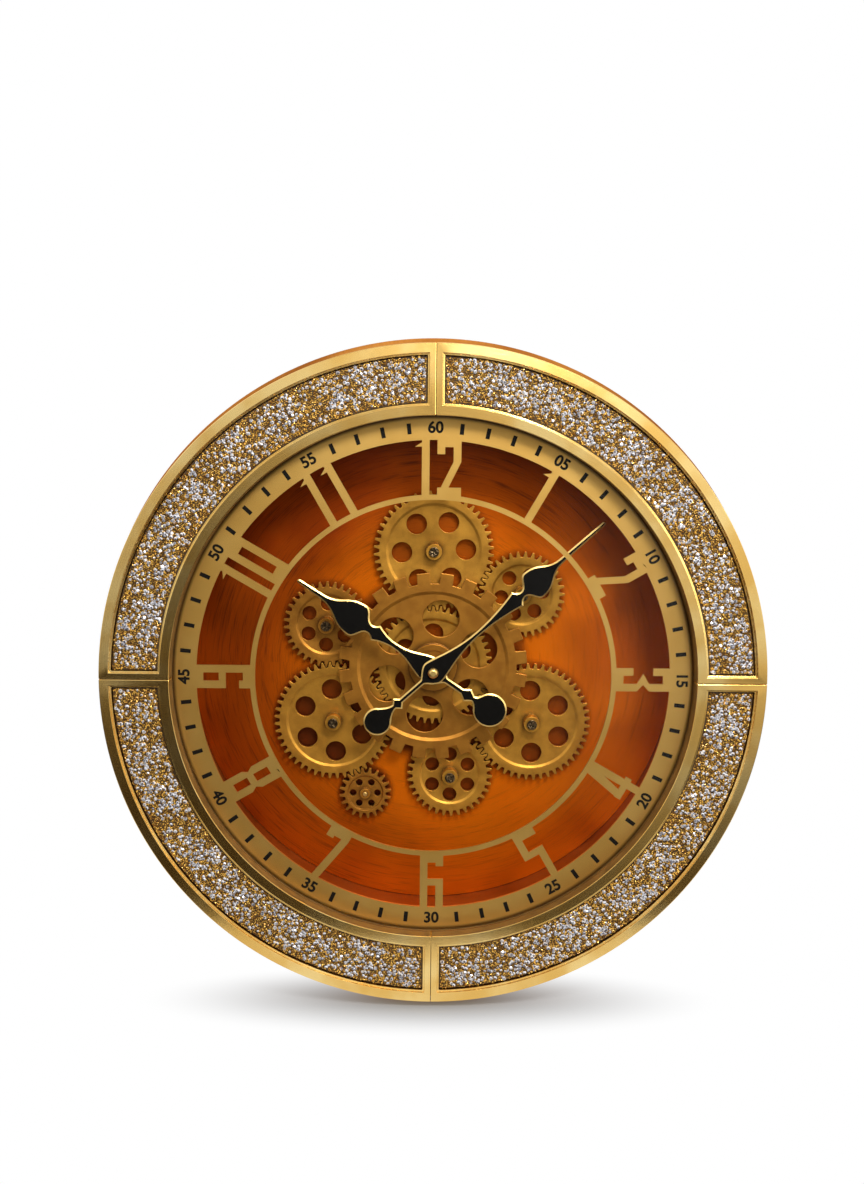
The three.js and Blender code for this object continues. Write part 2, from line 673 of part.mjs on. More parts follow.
// Post: shouldered pin on the copper plate, with a cross-head screw closing its front end.
function gearPost() {
  const shoulderFront = gearBack - RUNNING_GAP;
  const postFront = gearHubFront + RUNNING_GAP;
  return turned([
    [0, plateFront], [POST_SHOULDER_RADIUS, plateFront], [POST_SHOULDER_RADIUS, shoulderFront],
    [POST_RADIUS, shoulderFront], [POST_RADIUS, postFront], [0, postFront],
  ], SMALL_ROUND);
}

function postScrew() {
  const back = gearHubFront + RUNNING_GAP;
  const front = back + POST_SCREW_HEIGHT;
  return disc(POST_SCREW_RADIUS, back, front, SMALL_ROUND)
    .subtract(box(CROSS_LENGTH, CROSS_WIDTH, front - CROSS_DEPTH, front + CUT_OVERRUN))
    .subtract(box(CROSS_WIDTH, CROSS_LENGTH, front - CROSS_DEPTH, front + CUT_OVERRUN));
}

// Copper plate behind the train, pierced for the hand centre and the motor shaft.
function copperPlate() {
  return disc(drumBore - FIT_GAP, plateBack, plateFront, LARGE_ROUND)
    .subtract(drill(TUBE_RADIUS + FIT_GAP, plateBack, plateFront, SMALL_ROUND))
    .subtract(drill(SHAFT_RADIUS + FIT_GAP, plateBack, plateFront, HOLE_ROUND, pinionPlace.x, pinionPlace.y));
}

// Bridge: cog-edged plate over the sun gear, dished in the middle, with round windows and a boss.
function bridgePlate() {
  const outline = toothedShape(
    BRIDGE_TEETH, BRIDGE_ROOT_RADIUS, BRIDGE_TIP_RADIUS, BRIDGE_ROOT_SHARE, BRIDGE_TIP_SHARE,
  );
  const dishFront = bridgeFront - BRIDGE_RECESS;
  let plate = extrude(outline, bridgeBack, bridgeFront);
  plate = plate.subtract(disc(BRIDGE_RECESS_RADIUS, dishFront, bridgeFront + CUT_OVERRUN, GEAR_ROUND));
  for (let i = 0; i < LIGHTENING_HOLES; i += 1) {
    const spot = polar(BRIDGE_HOLE.circle, BRIDGE_HOLE_TURN - BRIDGE_TURN + i * 360 / LIGHTENING_HOLES);
    plate = plate.subtract(drill(BRIDGE_HOLE.radius, bridgeBack, bridgeFront, SMALL_ROUND, spot.x, spot.y));
  }
  const bossFront = bridgeFront + BRIDGE_BOSS_HEIGHT;
  plate = plate.add(disc(BRIDGE_BOSS_RADIUS, bridgeBack, bossFront, GEAR_ROUND));
  return plate.subtract(drill(TUBE_RADIUS + FIT_GAP, bridgeBack, bossFront, SMALL_ROUND));
}

// Centre tube: fixed sleeve that carries the sun gear and guides the hour pipe.
function centreTube() {
  const shoulderFront = gearBack - RUNNING_GAP;
  const front = hourHandBack - TUBE_FRONT_GAP;
  return turned([
    [tubeBore, plateBack], [TUBE_RADIUS, plateBack], [TUBE_RADIUS, plateFront],
    [TUBE_SHOULDER_RADIUS, plateFront], [TUBE_SHOULDER_RADIUS, shoulderFront],
    [TUBE_RADIUS, shoulderFront], [TUBE_RADIUS, front], [tubeBore, front],
  ], SMALL_ROUND);
}

function hourPipe() {
  return ring(PIPE_RADIUS, pipeBore, plateBack + FIT_GAP, hourHandFront + FIT_GAP, SMALL_ROUND);
}

function minuteArbor() {
  return disc(ARBOR_RADIUS, plateBack + FIT_GAP, minuteHandFront + ARBOR_END, SMALL_ROUND);
}

function handNut() {
  const back = minuteHandFront + FIT_GAP;
  const boreEnd = minuteHandFront + ARBOR_END + FIT_GAP;
  const bore = disc(ARBOR_RADIUS + FIT_GAP, back - CUT_OVERRUN, boreEnd, SMALL_ROUND);
  return disc(NUT_RADIUS, back, back + NUT_HEIGHT, SMALL_ROUND).subtract(bore);
}

// Hand: hub, stem with a waist, barb, leaf blade and needle tip, with a barbed stem and a disc for its tail.
function hand(sizes, reach, back, bore) {
  const front = back + HAND_THICKNESS;
  const length = reach - sizes.tipGap;
  const bladeEnd = length - sizes.needleLength;
  const bladeAt = bladeEnd - sizes.bladeLength;
  const barbAt = bladeAt - sizes.neckLength;
  const neckAt = barbAt + sizes.barbLength;
  const stemMiddle = (sizes.waistAt + barbAt) / 2;
  const barbMiddle = (barbAt + neckAt) / 2;
  const neckMiddle = (neckAt + bladeAt) / 2;
  const bladeMiddle = (bladeAt + bladeEnd) / 2;
  const side = new THREE.Path();
  side.moveTo(sizes.hub, 0);
  side.bezierCurveTo(sizes.hub, sizes.shoulder, sizes.waist, sizes.waistAt / 2, sizes.waist, sizes.waistAt);
  side.quadraticCurveTo(sizes.waist, stemMiddle, sizes.barb, barbAt);
  side.quadraticCurveTo(sizes.neck, barbMiddle, sizes.neck, neckAt);
  side.bezierCurveTo(sizes.neck, neckMiddle, sizes.blade, neckMiddle, sizes.blade, bladeAt);
  side.bezierCurveTo(sizes.blade, bladeMiddle, sizes.needle, bladeMiddle, sizes.needle, bladeEnd);
  side.lineTo(sizes.tip, length);
  const right = side.getPoints(CURVE_STEPS).map(({ x, y }) => [x, y]);
  const left = right.map(([x, y]) => [-x, y]).reverse();
  const tailBarbFront = sizes.tailBarbLength / 2 - sizes.tailBarbAt;
  const tailBarbBack = -sizes.tailBarbLength / 2 - sizes.tailBarbAt;
  const tailBarb = polygon([
    [sizes.tailStem, tailBarbBack], [sizes.tailBarb, -sizes.tailBarbAt], [sizes.tailStem, tailBarbFront],
    [-sizes.tailStem, tailBarbFront], [-sizes.tailBarb, -sizes.tailBarbAt], [-sizes.tailStem, tailBarbBack],
  ]);
  return extrude(polygon([...right, ...left]), back, front)
    .add(extrude(rectangle(-sizes.tailStem, -sizes.tailAt, sizes.tailStem, 0), back, front))
    .add(extrude(tailBarb, back, front))
    .add(disc(sizes.hub, back, front, GEAR_ROUND))
    .add(disc(sizes.tail, back, front, GEAR_ROUND, 0, -sizes.tailAt))
    .subtract(drill(bore, back, front, SMALL_ROUND));
}

// Round cell, made standing and laid along x by its mesh.
function cell() {
  return turned([
    [0, -CELL_LENGTH / 2], [CELL_RADIUS, -CELL_LENGTH / 2], [CELL_RADIUS, CELL_LENGTH / 2],
    [CELL_NUB_RADIUS, CELL_LENGTH / 2], [CELL_NUB_RADIUS, CELL_LENGTH / 2 + CELL_NUB],
    [0, CELL_LENGTH / 2 + CELL_NUB],
  ], SMALL_ROUND);
}

function addCell(name, x, y, z) {
  const mesh = addPiece(name, cell(), CELL_SKIN);
  mesh.rotation.y = Math.PI / 2;
  mesh.position.set(x - CELL_NUB / 2, y, z);
}

const bayWidth = CELL_LENGTH + CELL_NUB + 2 * CELL_CLEARANCE;
const bayHeight = 2 * (CELL_RADIUS + CELL_CLEARANCE);
const movementBack = panelFront + MOVEMENT_GAP;
const movementBayY = -MOVEMENT_DROP - MOVEMENT_SIDE / 2 + BAY_WALL + bayHeight / 2;
const movementCellZ = movementBack + CELL_CLEARANCE + CELL_RADIUS;
const boxHeight = 2 * bayHeight;
const boxCellZ = panelFront + CELL_CLEARANCE + CELL_RADIUS;
const doorWidth = bayWidth - 2 * DOOR_RIM;
const doorHeight = boxHeight - 2 * DOOR_RIM;

// Movement: square case against the copper plate, with an open bay for its cell.
function movementCase() {
  const bayFront = movementCellZ + CELL_RADIUS + CELL_CLEARANCE;
  return box(MOVEMENT_SIDE, MOVEMENT_SIDE, movementBack, plateBack, 0, -MOVEMENT_DROP)
    .subtract(box(bayWidth, bayHeight, movementBack - CUT_OVERRUN, bayFront, 0, movementBayY));
}

// Battery box of the gear motor, open towards the door in the panel.
function batteryBox() {
  const bayFront = boxCellZ + CELL_RADIUS + CELL_CLEARANCE;
  const width = bayWidth + 2 * BOX_WALL;
  const height = boxHeight + 2 * BOX_WALL;
  return box(width, height, panelFront, bayFront + BOX_WALL, BOX_X, BOX_Y)
    .subtract(box(bayWidth, boxHeight, panelFront - CUT_OVERRUN, bayFront, BOX_X, BOX_Y));
}

function switchSlider() {
  const height = SWITCH_SLOT.height - 2 * FIT_GAP;
  return box(SLIDER_LENGTH, height, SLIDER_INSET, panelFront - FIT_GAP, BOX_X + SLIDER_REST, SWITCH_Y);
}

// Hanger: steel plate with a keyhole, fixed inside the panel over a wider opening.
function hangerPlate() {
  const front = panelFront + HANGER.thickness;
  const slotTop = keyholeY + KEYHOLE_RISE;
  return box(HANGER.width, HANGER.height, panelFront, front, 0, hangerY)
    .subtract(drill(KEYHOLE_RADIUS, panelFront, front, SMALL_ROUND, 0, keyholeY))
    .subtract(slot(KEYHOLE_SLOT, KEYHOLE_RISE, panelFront, front, 0, (keyholeY + slotTop) / 2))
    .subtract(drill(KEYHOLE_SLOT / 2, panelFront, front, SMALL_ROUND, 0, slotTop));
}

// Back panel: board closing the case, cut for the movement, door, switch, hanger and screws.
function backPanel() {
  const back = -CUT_OVERRUN;
  const front = panelFront + CUT_OVERRUN;
  const windowY = -MOVEMENT_WINDOW.below - MOVEMENT_WINDOW.height / 2;
  let panel = disc(panelRadius, 0, panelFront, LARGE_ROUND)
    .subtract(box(MOVEMENT_WINDOW.width, MOVEMENT_WINDOW.height, back, front, 0, windowY))
    .subtract(box(doorWidth + 2 * FIT_GAP, doorHeight + 2 * FIT_GAP, back, front, BOX_X, BOX_Y))
    .subtract(box(SWITCH_SLOT.width, SWITCH_SLOT.height, back, front, BOX_X, SWITCH_Y))
    .subtract(box(HANGER_WINDOW.width, HANGER_WINDOW.height, back, front, 0, hangerY));
  for (const { x, y } of backScrewSpots) {
    panel = panel.subtract(disc(BACK_SCREW_RADIUS + FIT_GAP, back, front, SMALL_ROUND, x, y))
      .subtract(disc(BACK_SCREW_HEAD + FIT_GAP, back, BACK_SCREW_FLOOR, SMALL_ROUND, x, y));
  }
  return panel;
}

function backScrew() {
  const headFront = BACK_SCREW_SINK + BACK_SCREW_HEAD_HEIGHT;
  const tip = panelFront + REAR_FLANGE_THICKNESS + BACK_SCREW_TIP;
  return turned([
    [0, BACK_SCREW_SINK], [BACK_SCREW_HEAD, BACK_SCREW_SINK], [BACK_SCREW_HEAD, headFront],
    [BACK_SCREW_RADIUS, headFront], [BACK_SCREW_RADIUS, tip], [0, tip],
  ], HOLE_ROUND);
}

// Case
addPiece('case_hoop', caseHoop(), CASE_COPPER);
addPiece('back_panel', backPanel(), BLACK_BOARD);
addPiece('dial_drum', dialDrum(), GOLD);
addPiece('hanger_plate', hangerPlate(), STEEL);
backScrewSpots.forEach((spot, i) => addPiece(`back_screw_${i + 1}`, backScrew(), DARK_STEEL, spot));

// Bezel quarters, clockwise from the upper right
['upper_right', 'lower_right', 'lower_left', 'upper_left'].forEach((corner, i) => {
  addPiece(`bezel_${corner}`, bezelQuarter(), GOLD, undefined, -QUARTER_TURN * i);
  addPiece(`crystals_${corner}`, crystalBed(i), CRYSTAL, undefined, -QUARTER_TURN * i);
});

// Dial
addPiece('cover_glass', disc(drumRadius, glassBack, glassFront, LARGE_ROUND), GLASS);
addPiece('chapter_ring', chapterRing(), MATT_GOLD);
addPiece('copper_plate', copperPlate(), COPPER);

// Gear train
const sunGear = gear({
  teeth: BIG_TEETH, rim: RIM_WIDTH, hole: BIG_HOLE, holeTurn: 0, hub: SUN_HUB_RADIUS,
  hubHeight: SUN_HUB_HEIGHT, bore: TUBE_RADIUS + RUNNING_GAP,
});
addPiece('sun_gear', sunGear, BRASS, sun.place, sun.turn);
for (const planet of planets) {
  const postGear = { hub: GEAR_HUB_RADIUS, hubHeight: GEAR_HUB_HEIGHT, bore: postBore };
  const planetHoles = { hole: BIG_HOLE, holeTurn: planet.holeTurn - planet.turn };
  const idlerHoles = { hole: IDLER_HOLE, holeTurn: planet.idlerHoleTurn - planet.idler.turn };
  const planetGear = gear({ teeth: BIG_TEETH, rim: RIM_WIDTH, ...planetHoles, ...postGear });
  const idlerGear = gear({ teeth: IDLER_TEETH, rim: RIM_WIDTH, ...idlerHoles, ...postGear });
  addPiece(`planet_gear_${planet.name}`, planetGear, BRASS, planet.place, planet.turn);
  addPiece(`idler_gear_${planet.name}`, idlerGear, BRASS, planet.idler.place, planet.idler.turn);
  addPiece(`planet_post_${planet.name}`, gearPost(), BRASS, planet.place);
  addPiece(`idler_post_${planet.name}`, gearPost(), BRASS, planet.idler.place);
  addPiece(`planet_screw_${planet.name}`, postScrew(), DARK_STEEL, planet.place, planet.holeTurn);
  addPiece(`idler_screw_${planet.name}`, postScrew(), DARK_STEEL, planet.idler.place, planet.idlerHoleTurn);
  const pillarSpot = polar(PILLAR_CIRCLE, planet.direction + PILLAR_DIRECTION - planets[0].direction);
  addPiece(`bridge_pillar_${planet.name}`, disc(PILLAR_RADIUS, plateFront, bridgeBack), BRASS, pillarSpot);
}
const drivePinion = gear({
  teeth: PINION_TEETH, rim: PINION_RIM_WIDTH, hole: PINION_HOLE, holeTurn: -pinionTurn,
  hub: PINION_HUB_RADIUS, hubHeight: PINION_HUB_HEIGHT, bore: SHAFT_RADIUS + FIT_GAP,
});
const shaftFront = gearFront + PINION_HUB_HEIGHT + SHAFT_END;
addPiece('drive_pinion', drivePinion, BRASS, pinionPlace, pinionTurn);
addPiece('motor_shaft', disc(SHAFT_RADIUS, plateBack + FIT_GAP, shaftFront, HOLE_ROUND), GOLD, pinionPlace);
addPiece('gear_motor', disc(MOTOR_RADIUS, plateBack - MOTOR_LENGTH, plateBack), STEEL, pinionPlace);
addPiece('bridge_plate', bridgePlate(), BRASS, undefined, BRIDGE_TURN);

// Hands
const minuteTurn = -REST_MINUTE * MINUTE_DEGREES;
const hourTurn = -(REST_HOUR + REST_MINUTE / 60) * HOUR_DEGREES;
addPiece('centre_tube', centreTube(), BRASS);
addPiece('hour_pipe', hourPipe(), BRASS);
addPiece('minute_arbor', minuteArbor(), STEEL);
const hourHand = hand(HOUR_HAND, innerRingBore, hourHandBack, PIPE_RADIUS + FIT_GAP);
const minuteHand = hand(MINUTE_HAND, trackInnerRadius, minuteHandBack, ARBOR_RADIUS + FIT_GAP);
addPiece('hour_hand', hourHand, BLACK, undefined, hourTurn);
addPiece('minute_hand', minuteHand, BLACK, undefined, minuteTurn);
addPiece('hand_nut', handNut(), GOLD);

// Movement and supplies behind the copper plate
const knobPlace = { x: KNOB_X, y: -KNOB_BELOW };
addPiece('movement_case', movementCase(), BLACK_PLASTIC);
addPiece('set_knob', disc(KNOB_RADIUS, KNOB_INSET, movementBack - FIT_GAP), RED_PLASTIC, knobPlace);
addCell('movement_cell', 0, movementBayY, movementCellZ);
addPiece('battery_box', batteryBox(), BLACK_PLASTIC);
addCell('motor_cell_upper', BOX_X, BOX_Y + bayHeight / 2, boxCellZ);
addCell('motor_cell_lower', BOX_X, BOX_Y - bayHeight / 2, boxCellZ);
const batteryDoor = box(doorWidth, doorHeight, DOOR_INSET, panelFront - FIT_GAP, BOX_X, BOX_Y);
addPiece('battery_door', batteryDoor, BLACK_PLASTIC);
const switchBack = panelFront;
const switchFront = switchBack + SWITCH_BODY.depth;
const switchBody = box(SWITCH_BODY.width, SWITCH_BODY.height, switchBack, switchFront, BOX_X, SWITCH_Y);
addPiece('switch_body', switchBody, BLACK_PLASTIC);
addPiece('switch_slider', switchSlider(), RED_PLASTIC);

const clock = new THREE.Group();
clock.add(dial);

export default clock;
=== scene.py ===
import math
import random
from types import SimpleNamespace

import bmesh
import bpy
from mathutils import Matrix, Vector, geometry, noise


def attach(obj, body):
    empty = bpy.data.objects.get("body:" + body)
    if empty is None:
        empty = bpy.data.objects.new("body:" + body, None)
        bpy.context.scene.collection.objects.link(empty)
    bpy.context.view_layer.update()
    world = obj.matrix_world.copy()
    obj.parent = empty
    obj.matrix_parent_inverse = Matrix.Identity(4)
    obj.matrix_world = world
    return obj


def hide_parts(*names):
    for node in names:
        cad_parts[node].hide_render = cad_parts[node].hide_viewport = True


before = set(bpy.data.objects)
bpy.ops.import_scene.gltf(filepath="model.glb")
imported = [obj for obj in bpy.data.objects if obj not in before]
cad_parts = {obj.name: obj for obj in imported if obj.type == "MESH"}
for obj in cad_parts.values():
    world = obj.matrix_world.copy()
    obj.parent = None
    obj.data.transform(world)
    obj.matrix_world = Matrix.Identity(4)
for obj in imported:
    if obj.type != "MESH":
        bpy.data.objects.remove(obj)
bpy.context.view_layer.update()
scene = bpy.context.scene
scene.view_settings.view_transform = "Standard"


# Viewpoint of the photograph: a little above the clock's centre, looking slightly down at the dial.
# Place and angles were fitted to the bezel, the ring, the hands and the gears in a frame of 864 x 1184.
FOCAL_PIXELS = 1300
IMAGE_HEIGHT = 1184
SENSOR = 36
CAMERA_PLACE = (-0.0101, -1.2443, 0.2130)
CAMERA_YAW = -0.41
CAMERA_TILT = 83.24
CAMERA_ROLL = 0.54


def turn(degrees, axis):
    return Matrix.Rotation(math.radians(degrees), 4, axis)


def add_object(name, data):
    made = bpy.data.objects.new(name, data)
    scene.collection.objects.link(made)
    return made


view = bpy.data.cameras.new("photo_view")
view.sensor_width = SENSOR
view.lens = FOCAL_PIXELS * SENSOR / IMAGE_HEIGHT
camera = add_object("photo_view", view)
camera.matrix_world = (
    Matrix.Translation(CAMERA_PLACE) @ turn(CAMERA_YAW, "Z") @ turn(CAMERA_TILT, "X") @ turn(CAMERA_ROLL, "Z")
)
scene.camera = camera


# Case hoop: a spun metal ring, straight behind and drawn in towards the bezel, with a flange turned in
# at each end. Copper-brown lacquer over metal. The bezel sits on its front flange.
HOOP_RADIUS = 0.300
HOOP_FRONT_RADIUS = 0.294
HOOP_WALL = 0.003
HOOP_STRAIGHT = 0.084
HOOP_DEPTH = 0.107
FRONT_FLANGE_BORE = 0.2373
REAR_FLANGE_BORE = 0.284
REAR_FLANGE = (0.004, 0.008)
HOOP_ROUNDING = 0.0008
WIDE_STEPS = 256
ROUND_STEPS = 32
FRONT = (0, -1, 0)
SHARP = math.radians(25)
CREASE = math.radians(14)
FLAT = math.radians(0.3)
SAME_PLACE = 1e-6
CASE_COPPER = (0.62, 0.30, 0.08, 1)
CASE_COPPER_DARK = (0.42, 0.18, 0.045, 1)


class Shade:
    """A socket of one node tree that can be worked with as a value."""

    def __init__(self, tree, socket=None):
        self.tree = tree
        self.socket = socket

    def node(self, kind, settings, inputs, output=0):
        """Adds a node, sets it up, fills its sockets with values or links and gives one of its outputs."""
        made = self.tree.nodes.new("ShaderNode" + kind)
        for name, value in settings.items():
            setattr(made, name, value)
        for name, value in inputs.items():
            if isinstance(value, Shade):
                self.tree.links.new(value.socket, made.inputs[name])
            else:
                made.inputs[name].default_value = value
        return Shade(self.tree, made.outputs[output])

    def other(self, output):
        return Shade(self.tree, self.socket.node.outputs[output])

    def math(self, operation, first, second=0.0):
        return self.node("Math", {"operation": operation}, {0: first, 1: second})

    def __add__(self, value):
        return self.math("ADD", self, value)

    def __sub__(self, value):
        return self.math("SUBTRACT", self, value)

    def __rsub__(self, value):
        return self.math("SUBTRACT", value, self)

    def __mul__(self, value):
        return self.math("MULTIPLY", self, value)

    def __pow__(self, value):
        return self.math("POWER", self, value)

    __radd__ = __add__
    __rmul__ = __mul__

    def at_most_one(self):
        return self.node("Clamp", {}, {0: self})

    def between(self, low, high):
        """0 below low, 1 above high and smooth between them."""
        return self.node("MapRange", {"interpolation_type": "SMOOTHSTEP"}, {0: self, 1: low, 2: high})

    def blend(self, first, second):
        """Colour that goes from first to second as this value goes from 0 to 1."""
        return self.node("Mix", {"data_type": "RGBA"}, {0: self, 6: first, 7: second}, 2)

    def place(self):
        return self.node("TexCoord", {}, {}, "Object")

    def axes(self, vector):
        split = self.node("SeparateXYZ", {}, {0: vector}, "X")
        return split, split.other("Y"), split.other("Z")

    def noise(self, vector, scale=1.0, detail=2.0):
        return self.node("TexNoise", {}, {"Vector": vector, "Scale": scale, "Detail": detail})

    def off_centre(self):
        """Distance from the dial's axis."""
        x, _, z = self.axes(self.place())
        return (x * x + z * z) ** 0.5

    def circles(self, across, along):
        """A vector that runs fast across the dial's circles and slowly along them, for brushed metal."""
        x, y, z = self.axes(self.place())
        round_dial = self.math("ARCTAN2", z, x)
        return self.node(
            "CombineXYZ", {}, {0: self.off_centre() * across, 1: round_dial * along, 2: y * across})

    def hollows(self, reach):
        """1 on open surfaces, falling to 0 in the piece's own corners and recesses."""
        return self.node("AmbientOcclusion", {"samples": 6, "only_local": True}, {"Distance": reach}, "AO")

    def raised(self, height, distance):
        return self.node("Bump", {}, {"Height": height, "Distance": distance})

    def surface(self, **sockets):
        """The shader of a solid finish. Socket names have _ for a space."""
        inputs = {name.replace("_", " "): value for name, value in sockets.items()}
        return self.node("BsdfPrincipled", {}, inputs)


def finish(name, make):
    """A material whose surface is what make gives for its node tree."""
    material = bpy.data.materials.new(name)
    material.use_nodes = True
    tree = material.node_tree
    tree.nodes.clear()
    surface = make(Shade(tree))
    tree.links.new(surface.socket, tree.nodes.new("ShaderNodeOutputMaterial").inputs["Surface"])
    return material


def turned(bm, profile, steps=ROUND_STEPS, at=(0, 0)):
    """Spins (radius, depth) points about an axis along the depth. The profile starts there or is closed."""
    x, z = at
    corners = [bm.verts.new((x + radius, -depth, z)) for radius, depth in profile]
    following = corners[1:] if profile[0][0] == 0 else corners[1:] + corners[:1]
    edges = [bm.edges.new(pair) for pair in zip(corners, following)]
    bmesh.ops.spin(
        bm, geom=corners + edges, cent=(x, 0, z), axis=FRONT, angle=math.tau, steps=steps, use_merge=True)


def tidy(bm):
    bmesh.ops.remove_doubles(bm, verts=bm.verts, dist=SAME_PLACE)
    bmesh.ops.recalc_face_normals(bm, faces=bm.faces)


def soften(bm, width):
    """Joins flat faces and rounds every sharp edge."""
    tidy(bm)
    bmesh.ops.dissolve_limit(bm, angle_limit=FLAT, verts=bm.verts, edges=bm.edges)
    sharp = [edge for edge in bm.edges if edge.is_manifold and edge.calc_face_angle() > SHARP]
    bmesh.ops.bevel(
        bm, geom=sharp, offset=width, offset_type="OFFSET", segments=2, profile=0.5, affect="EDGES",
        material=-1, loop_slide=False,
    )


def mesh_of(name, bm):
    """The mesh of a finished bmesh."""
    mesh = bpy.data.meshes.new(name)
    bm.to_mesh(mesh)
    bm.free()
    return mesh


def add_piece(name, bm, finishes, body, slot, *nodes):
    """Makes a piece of a finished bmesh. It rides on a body and stands for the CAD nodes that are named."""
    tidy(bm)
    mesh = mesh_of(name, bm)
    for material in finishes:
        mesh.materials.append(material)
    mesh.shade_smooth()
    mesh.set_sharp_from_angle(angle=CREASE)
    piece = add_object(name, mesh)
    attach(piece, body)
    if nodes:
        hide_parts(*nodes)


def add_turned(name, profile, rounding, material, body, slot, node, steps=ROUND_STEPS, at=(0, 0)):
    """A turned piece of one finish with rounded edges."""
    bm = bmesh.new()
    turned(bm, profile, steps, at)
    soften(bm, rounding)
    add_piece(name, bm, [material], body, slot, node)


def copper_lacquer(shade):
    cloud = shade.noise(shade.place(), scale=14, detail=4).between(0.3, 0.75)
    grain = shade.noise(shade.circles(across=40, along=220), detail=3)
    return shade.surface(
        Base_Color=cloud.blend(CASE_COPPER, CASE_COPPER_DARK), Metallic=1.0, Roughness=0.38 + 0.14 * grain,
        Specular_Tint=CASE_COPPER_DARK, Normal=shade.raised(grain, 0.00004),
    )


hoop_inside = HOOP_RADIUS - HOOP_WALL
flange_back = HOOP_DEPTH - HOOP_WALL
hoop_profile = [
    (HOOP_RADIUS, 0), (HOOP_RADIUS, HOOP_STRAIGHT), (HOOP_FRONT_RADIUS, HOOP_DEPTH),
    (FRONT_FLANGE_BORE, HOOP_DEPTH), (FRONT_FLANGE_BORE, flange_back),
    (HOOP_FRONT_RADIUS - HOOP_WALL, flange_back), (hoop_inside, HOOP_STRAIGHT), (hoop_inside, REAR_FLANGE[1]),
    (REAR_FLANGE_BORE, REAR_FLANGE[1]), (REAR_FLANGE_BORE, REAR_FLANGE[0]), (hoop_inside, REAR_FLANGE[0]),
    (hoop_inside, 0),
]
add_turned(
    "spun_hoop", hoop_profile, HOOP_ROUNDING, finish("copper_lacquer", copper_lacquer), "case", "case_copper",
    "case_hoop", WIDE_STEPS)


# Dial drum: the deep wall inside the case, with a ledge for the copper plate at the back and a rebate for
# the chapter ring at the front. Spun sheet, dull gold darkened as painted shade outside and copper-brown
# lacquer inside, held between the back panel and the glass.
DRUM_RADIUS = 0.236
DRUM_BORE = 0.229
DRUM_LEDGE_BORE = 0.224
DRUM_REBATE = 0.2326
DRUM_BACK = 0.004
DRUM_ROUNDING = 0.0004
PLATE_BACK = 0.022
RING_BACK = 0.0995
GLASS_BACK = 0.104
# Dull gold, dark enough to stand as painted shade in the bezel's bore.
SHADED_DULL_GOLD = (0.22, 0.115, 0.030, 1)
SHADED_DULL_GOLD_PALE = (0.30, 0.165, 0.046, 1)
WALL_COPPER = (0.22, 0.060, 0.006, 1)
WALL_COPPER_PALE = (0.31, 0.090, 0.010, 1)


def mottled(name, first, second, rough, scale, detail, edges=None, grit=None, bump=0, **sockets):
    """A finish with a patchy colour. Roughness and bumps follow the patches, or a grit of their own."""
    def make(shade):
        patches = shade.noise(shade.place(), scale, detail)
        if edges:
            patches = patches.between(*edges)
        fine = shade.noise(shade.place(), *grit) if grit else patches
        relief = {"Normal": shade.raised(fine, bump)} if bump else {}
        low, high = rough
        return shade.surface(
            Base_Color=patches.blend(first, second), Roughness=low + (high - low) * fine, **relief, **sockets)

    return finish(name, make)


# Dull gold for the drum's outside and the bezel's bore, darkened as painted shade.
dull_shaded_gold = mottled(
    "dull_shaded_gold", SHADED_DULL_GOLD, SHADED_DULL_GOLD_PALE, (0.5, 0.65), scale=60, detail=3, edges=(0.35, 0.7), Metallic=0.7)
wall_lacquer = mottled(
    "wall_lacquer", WALL_COPPER, WALL_COPPER_PALE, (0.45, 0.6), scale=60, detail=3, edges=(0.35, 0.7),
    Metallic=0.6)
drum = bmesh.new()
turned(drum, [
    (DRUM_RADIUS, DRUM_BACK), (DRUM_RADIUS, GLASS_BACK), (DRUM_REBATE, GLASS_BACK), (DRUM_REBATE, RING_BACK),
    (DRUM_BORE, RING_BACK), (DRUM_BORE, PLATE_BACK), (DRUM_LEDGE_BORE, PLATE_BACK),
    (DRUM_LEDGE_BORE, DRUM_BACK),
], WIDE_STEPS)
soften(drum, DRUM_ROUNDING)
for face in drum.faces:
    face.material_index = int(face.calc_center_median().xz.length < DRUM_BORE + DRUM_ROUNDING)
add_piece("gold_drum", drum, [dull_shaded_gold, wall_lacquer], "case", "gold", "dial_drum")


# Bezel: four gold quarter frames butted at 12, 3, 6 and 9 o'clock, each with a stepped tray behind its
# window. Die cast, gold plated and lightly brushed round the dial, with the bore dull and darkened as
# painted shade. Screwed to the hoop's flange from behind.
BEZEL_RADIUS = 0.294
BEZEL_BORE = 0.2322
BEZEL_BACK = 0.107
BEZEL_FRONT = 0.120
BAND = 0.009
SEAM_HALF = 0.00015
DIVIDER_HALF = 0.0059
LIP_DEPTH = 0.002
LIP_WIDTH = 0.0015
TRAY_FLOOR = 0.110
OUTER_FALL = 0.0007
INNER_FALL = 0.00015
FRAME_ROUNDING = 0.0006
BORE_SKIN = 0.0001
QUARTER_STEPS = 64
QUARTER = math.pi / 2
QUARTERS = ("upper_right", "lower_right", "lower_left", "upper_left")
GOLD = (0.84, 0.51, 0.13, 1)
GOLD_PALE = (0.97, 0.70, 0.27, 1)


def brushed_gold(shade):
    brushed = shade.noise(shade.circles(across=2600, along=9), detail=3)
    speckle = shade.noise(shade.place(), scale=1400)
    cloud = shade.noise(shade.place(), scale=22, detail=3).between(0.35, 0.7)
    return shade.surface(
        Base_Color=cloud.blend(GOLD, GOLD_PALE), Metallic=1.0,
        Roughness=0.13 + 0.10 * brushed + 0.06 * speckle, Normal=shade.raised(brushed + speckle, 0.00002),
    )


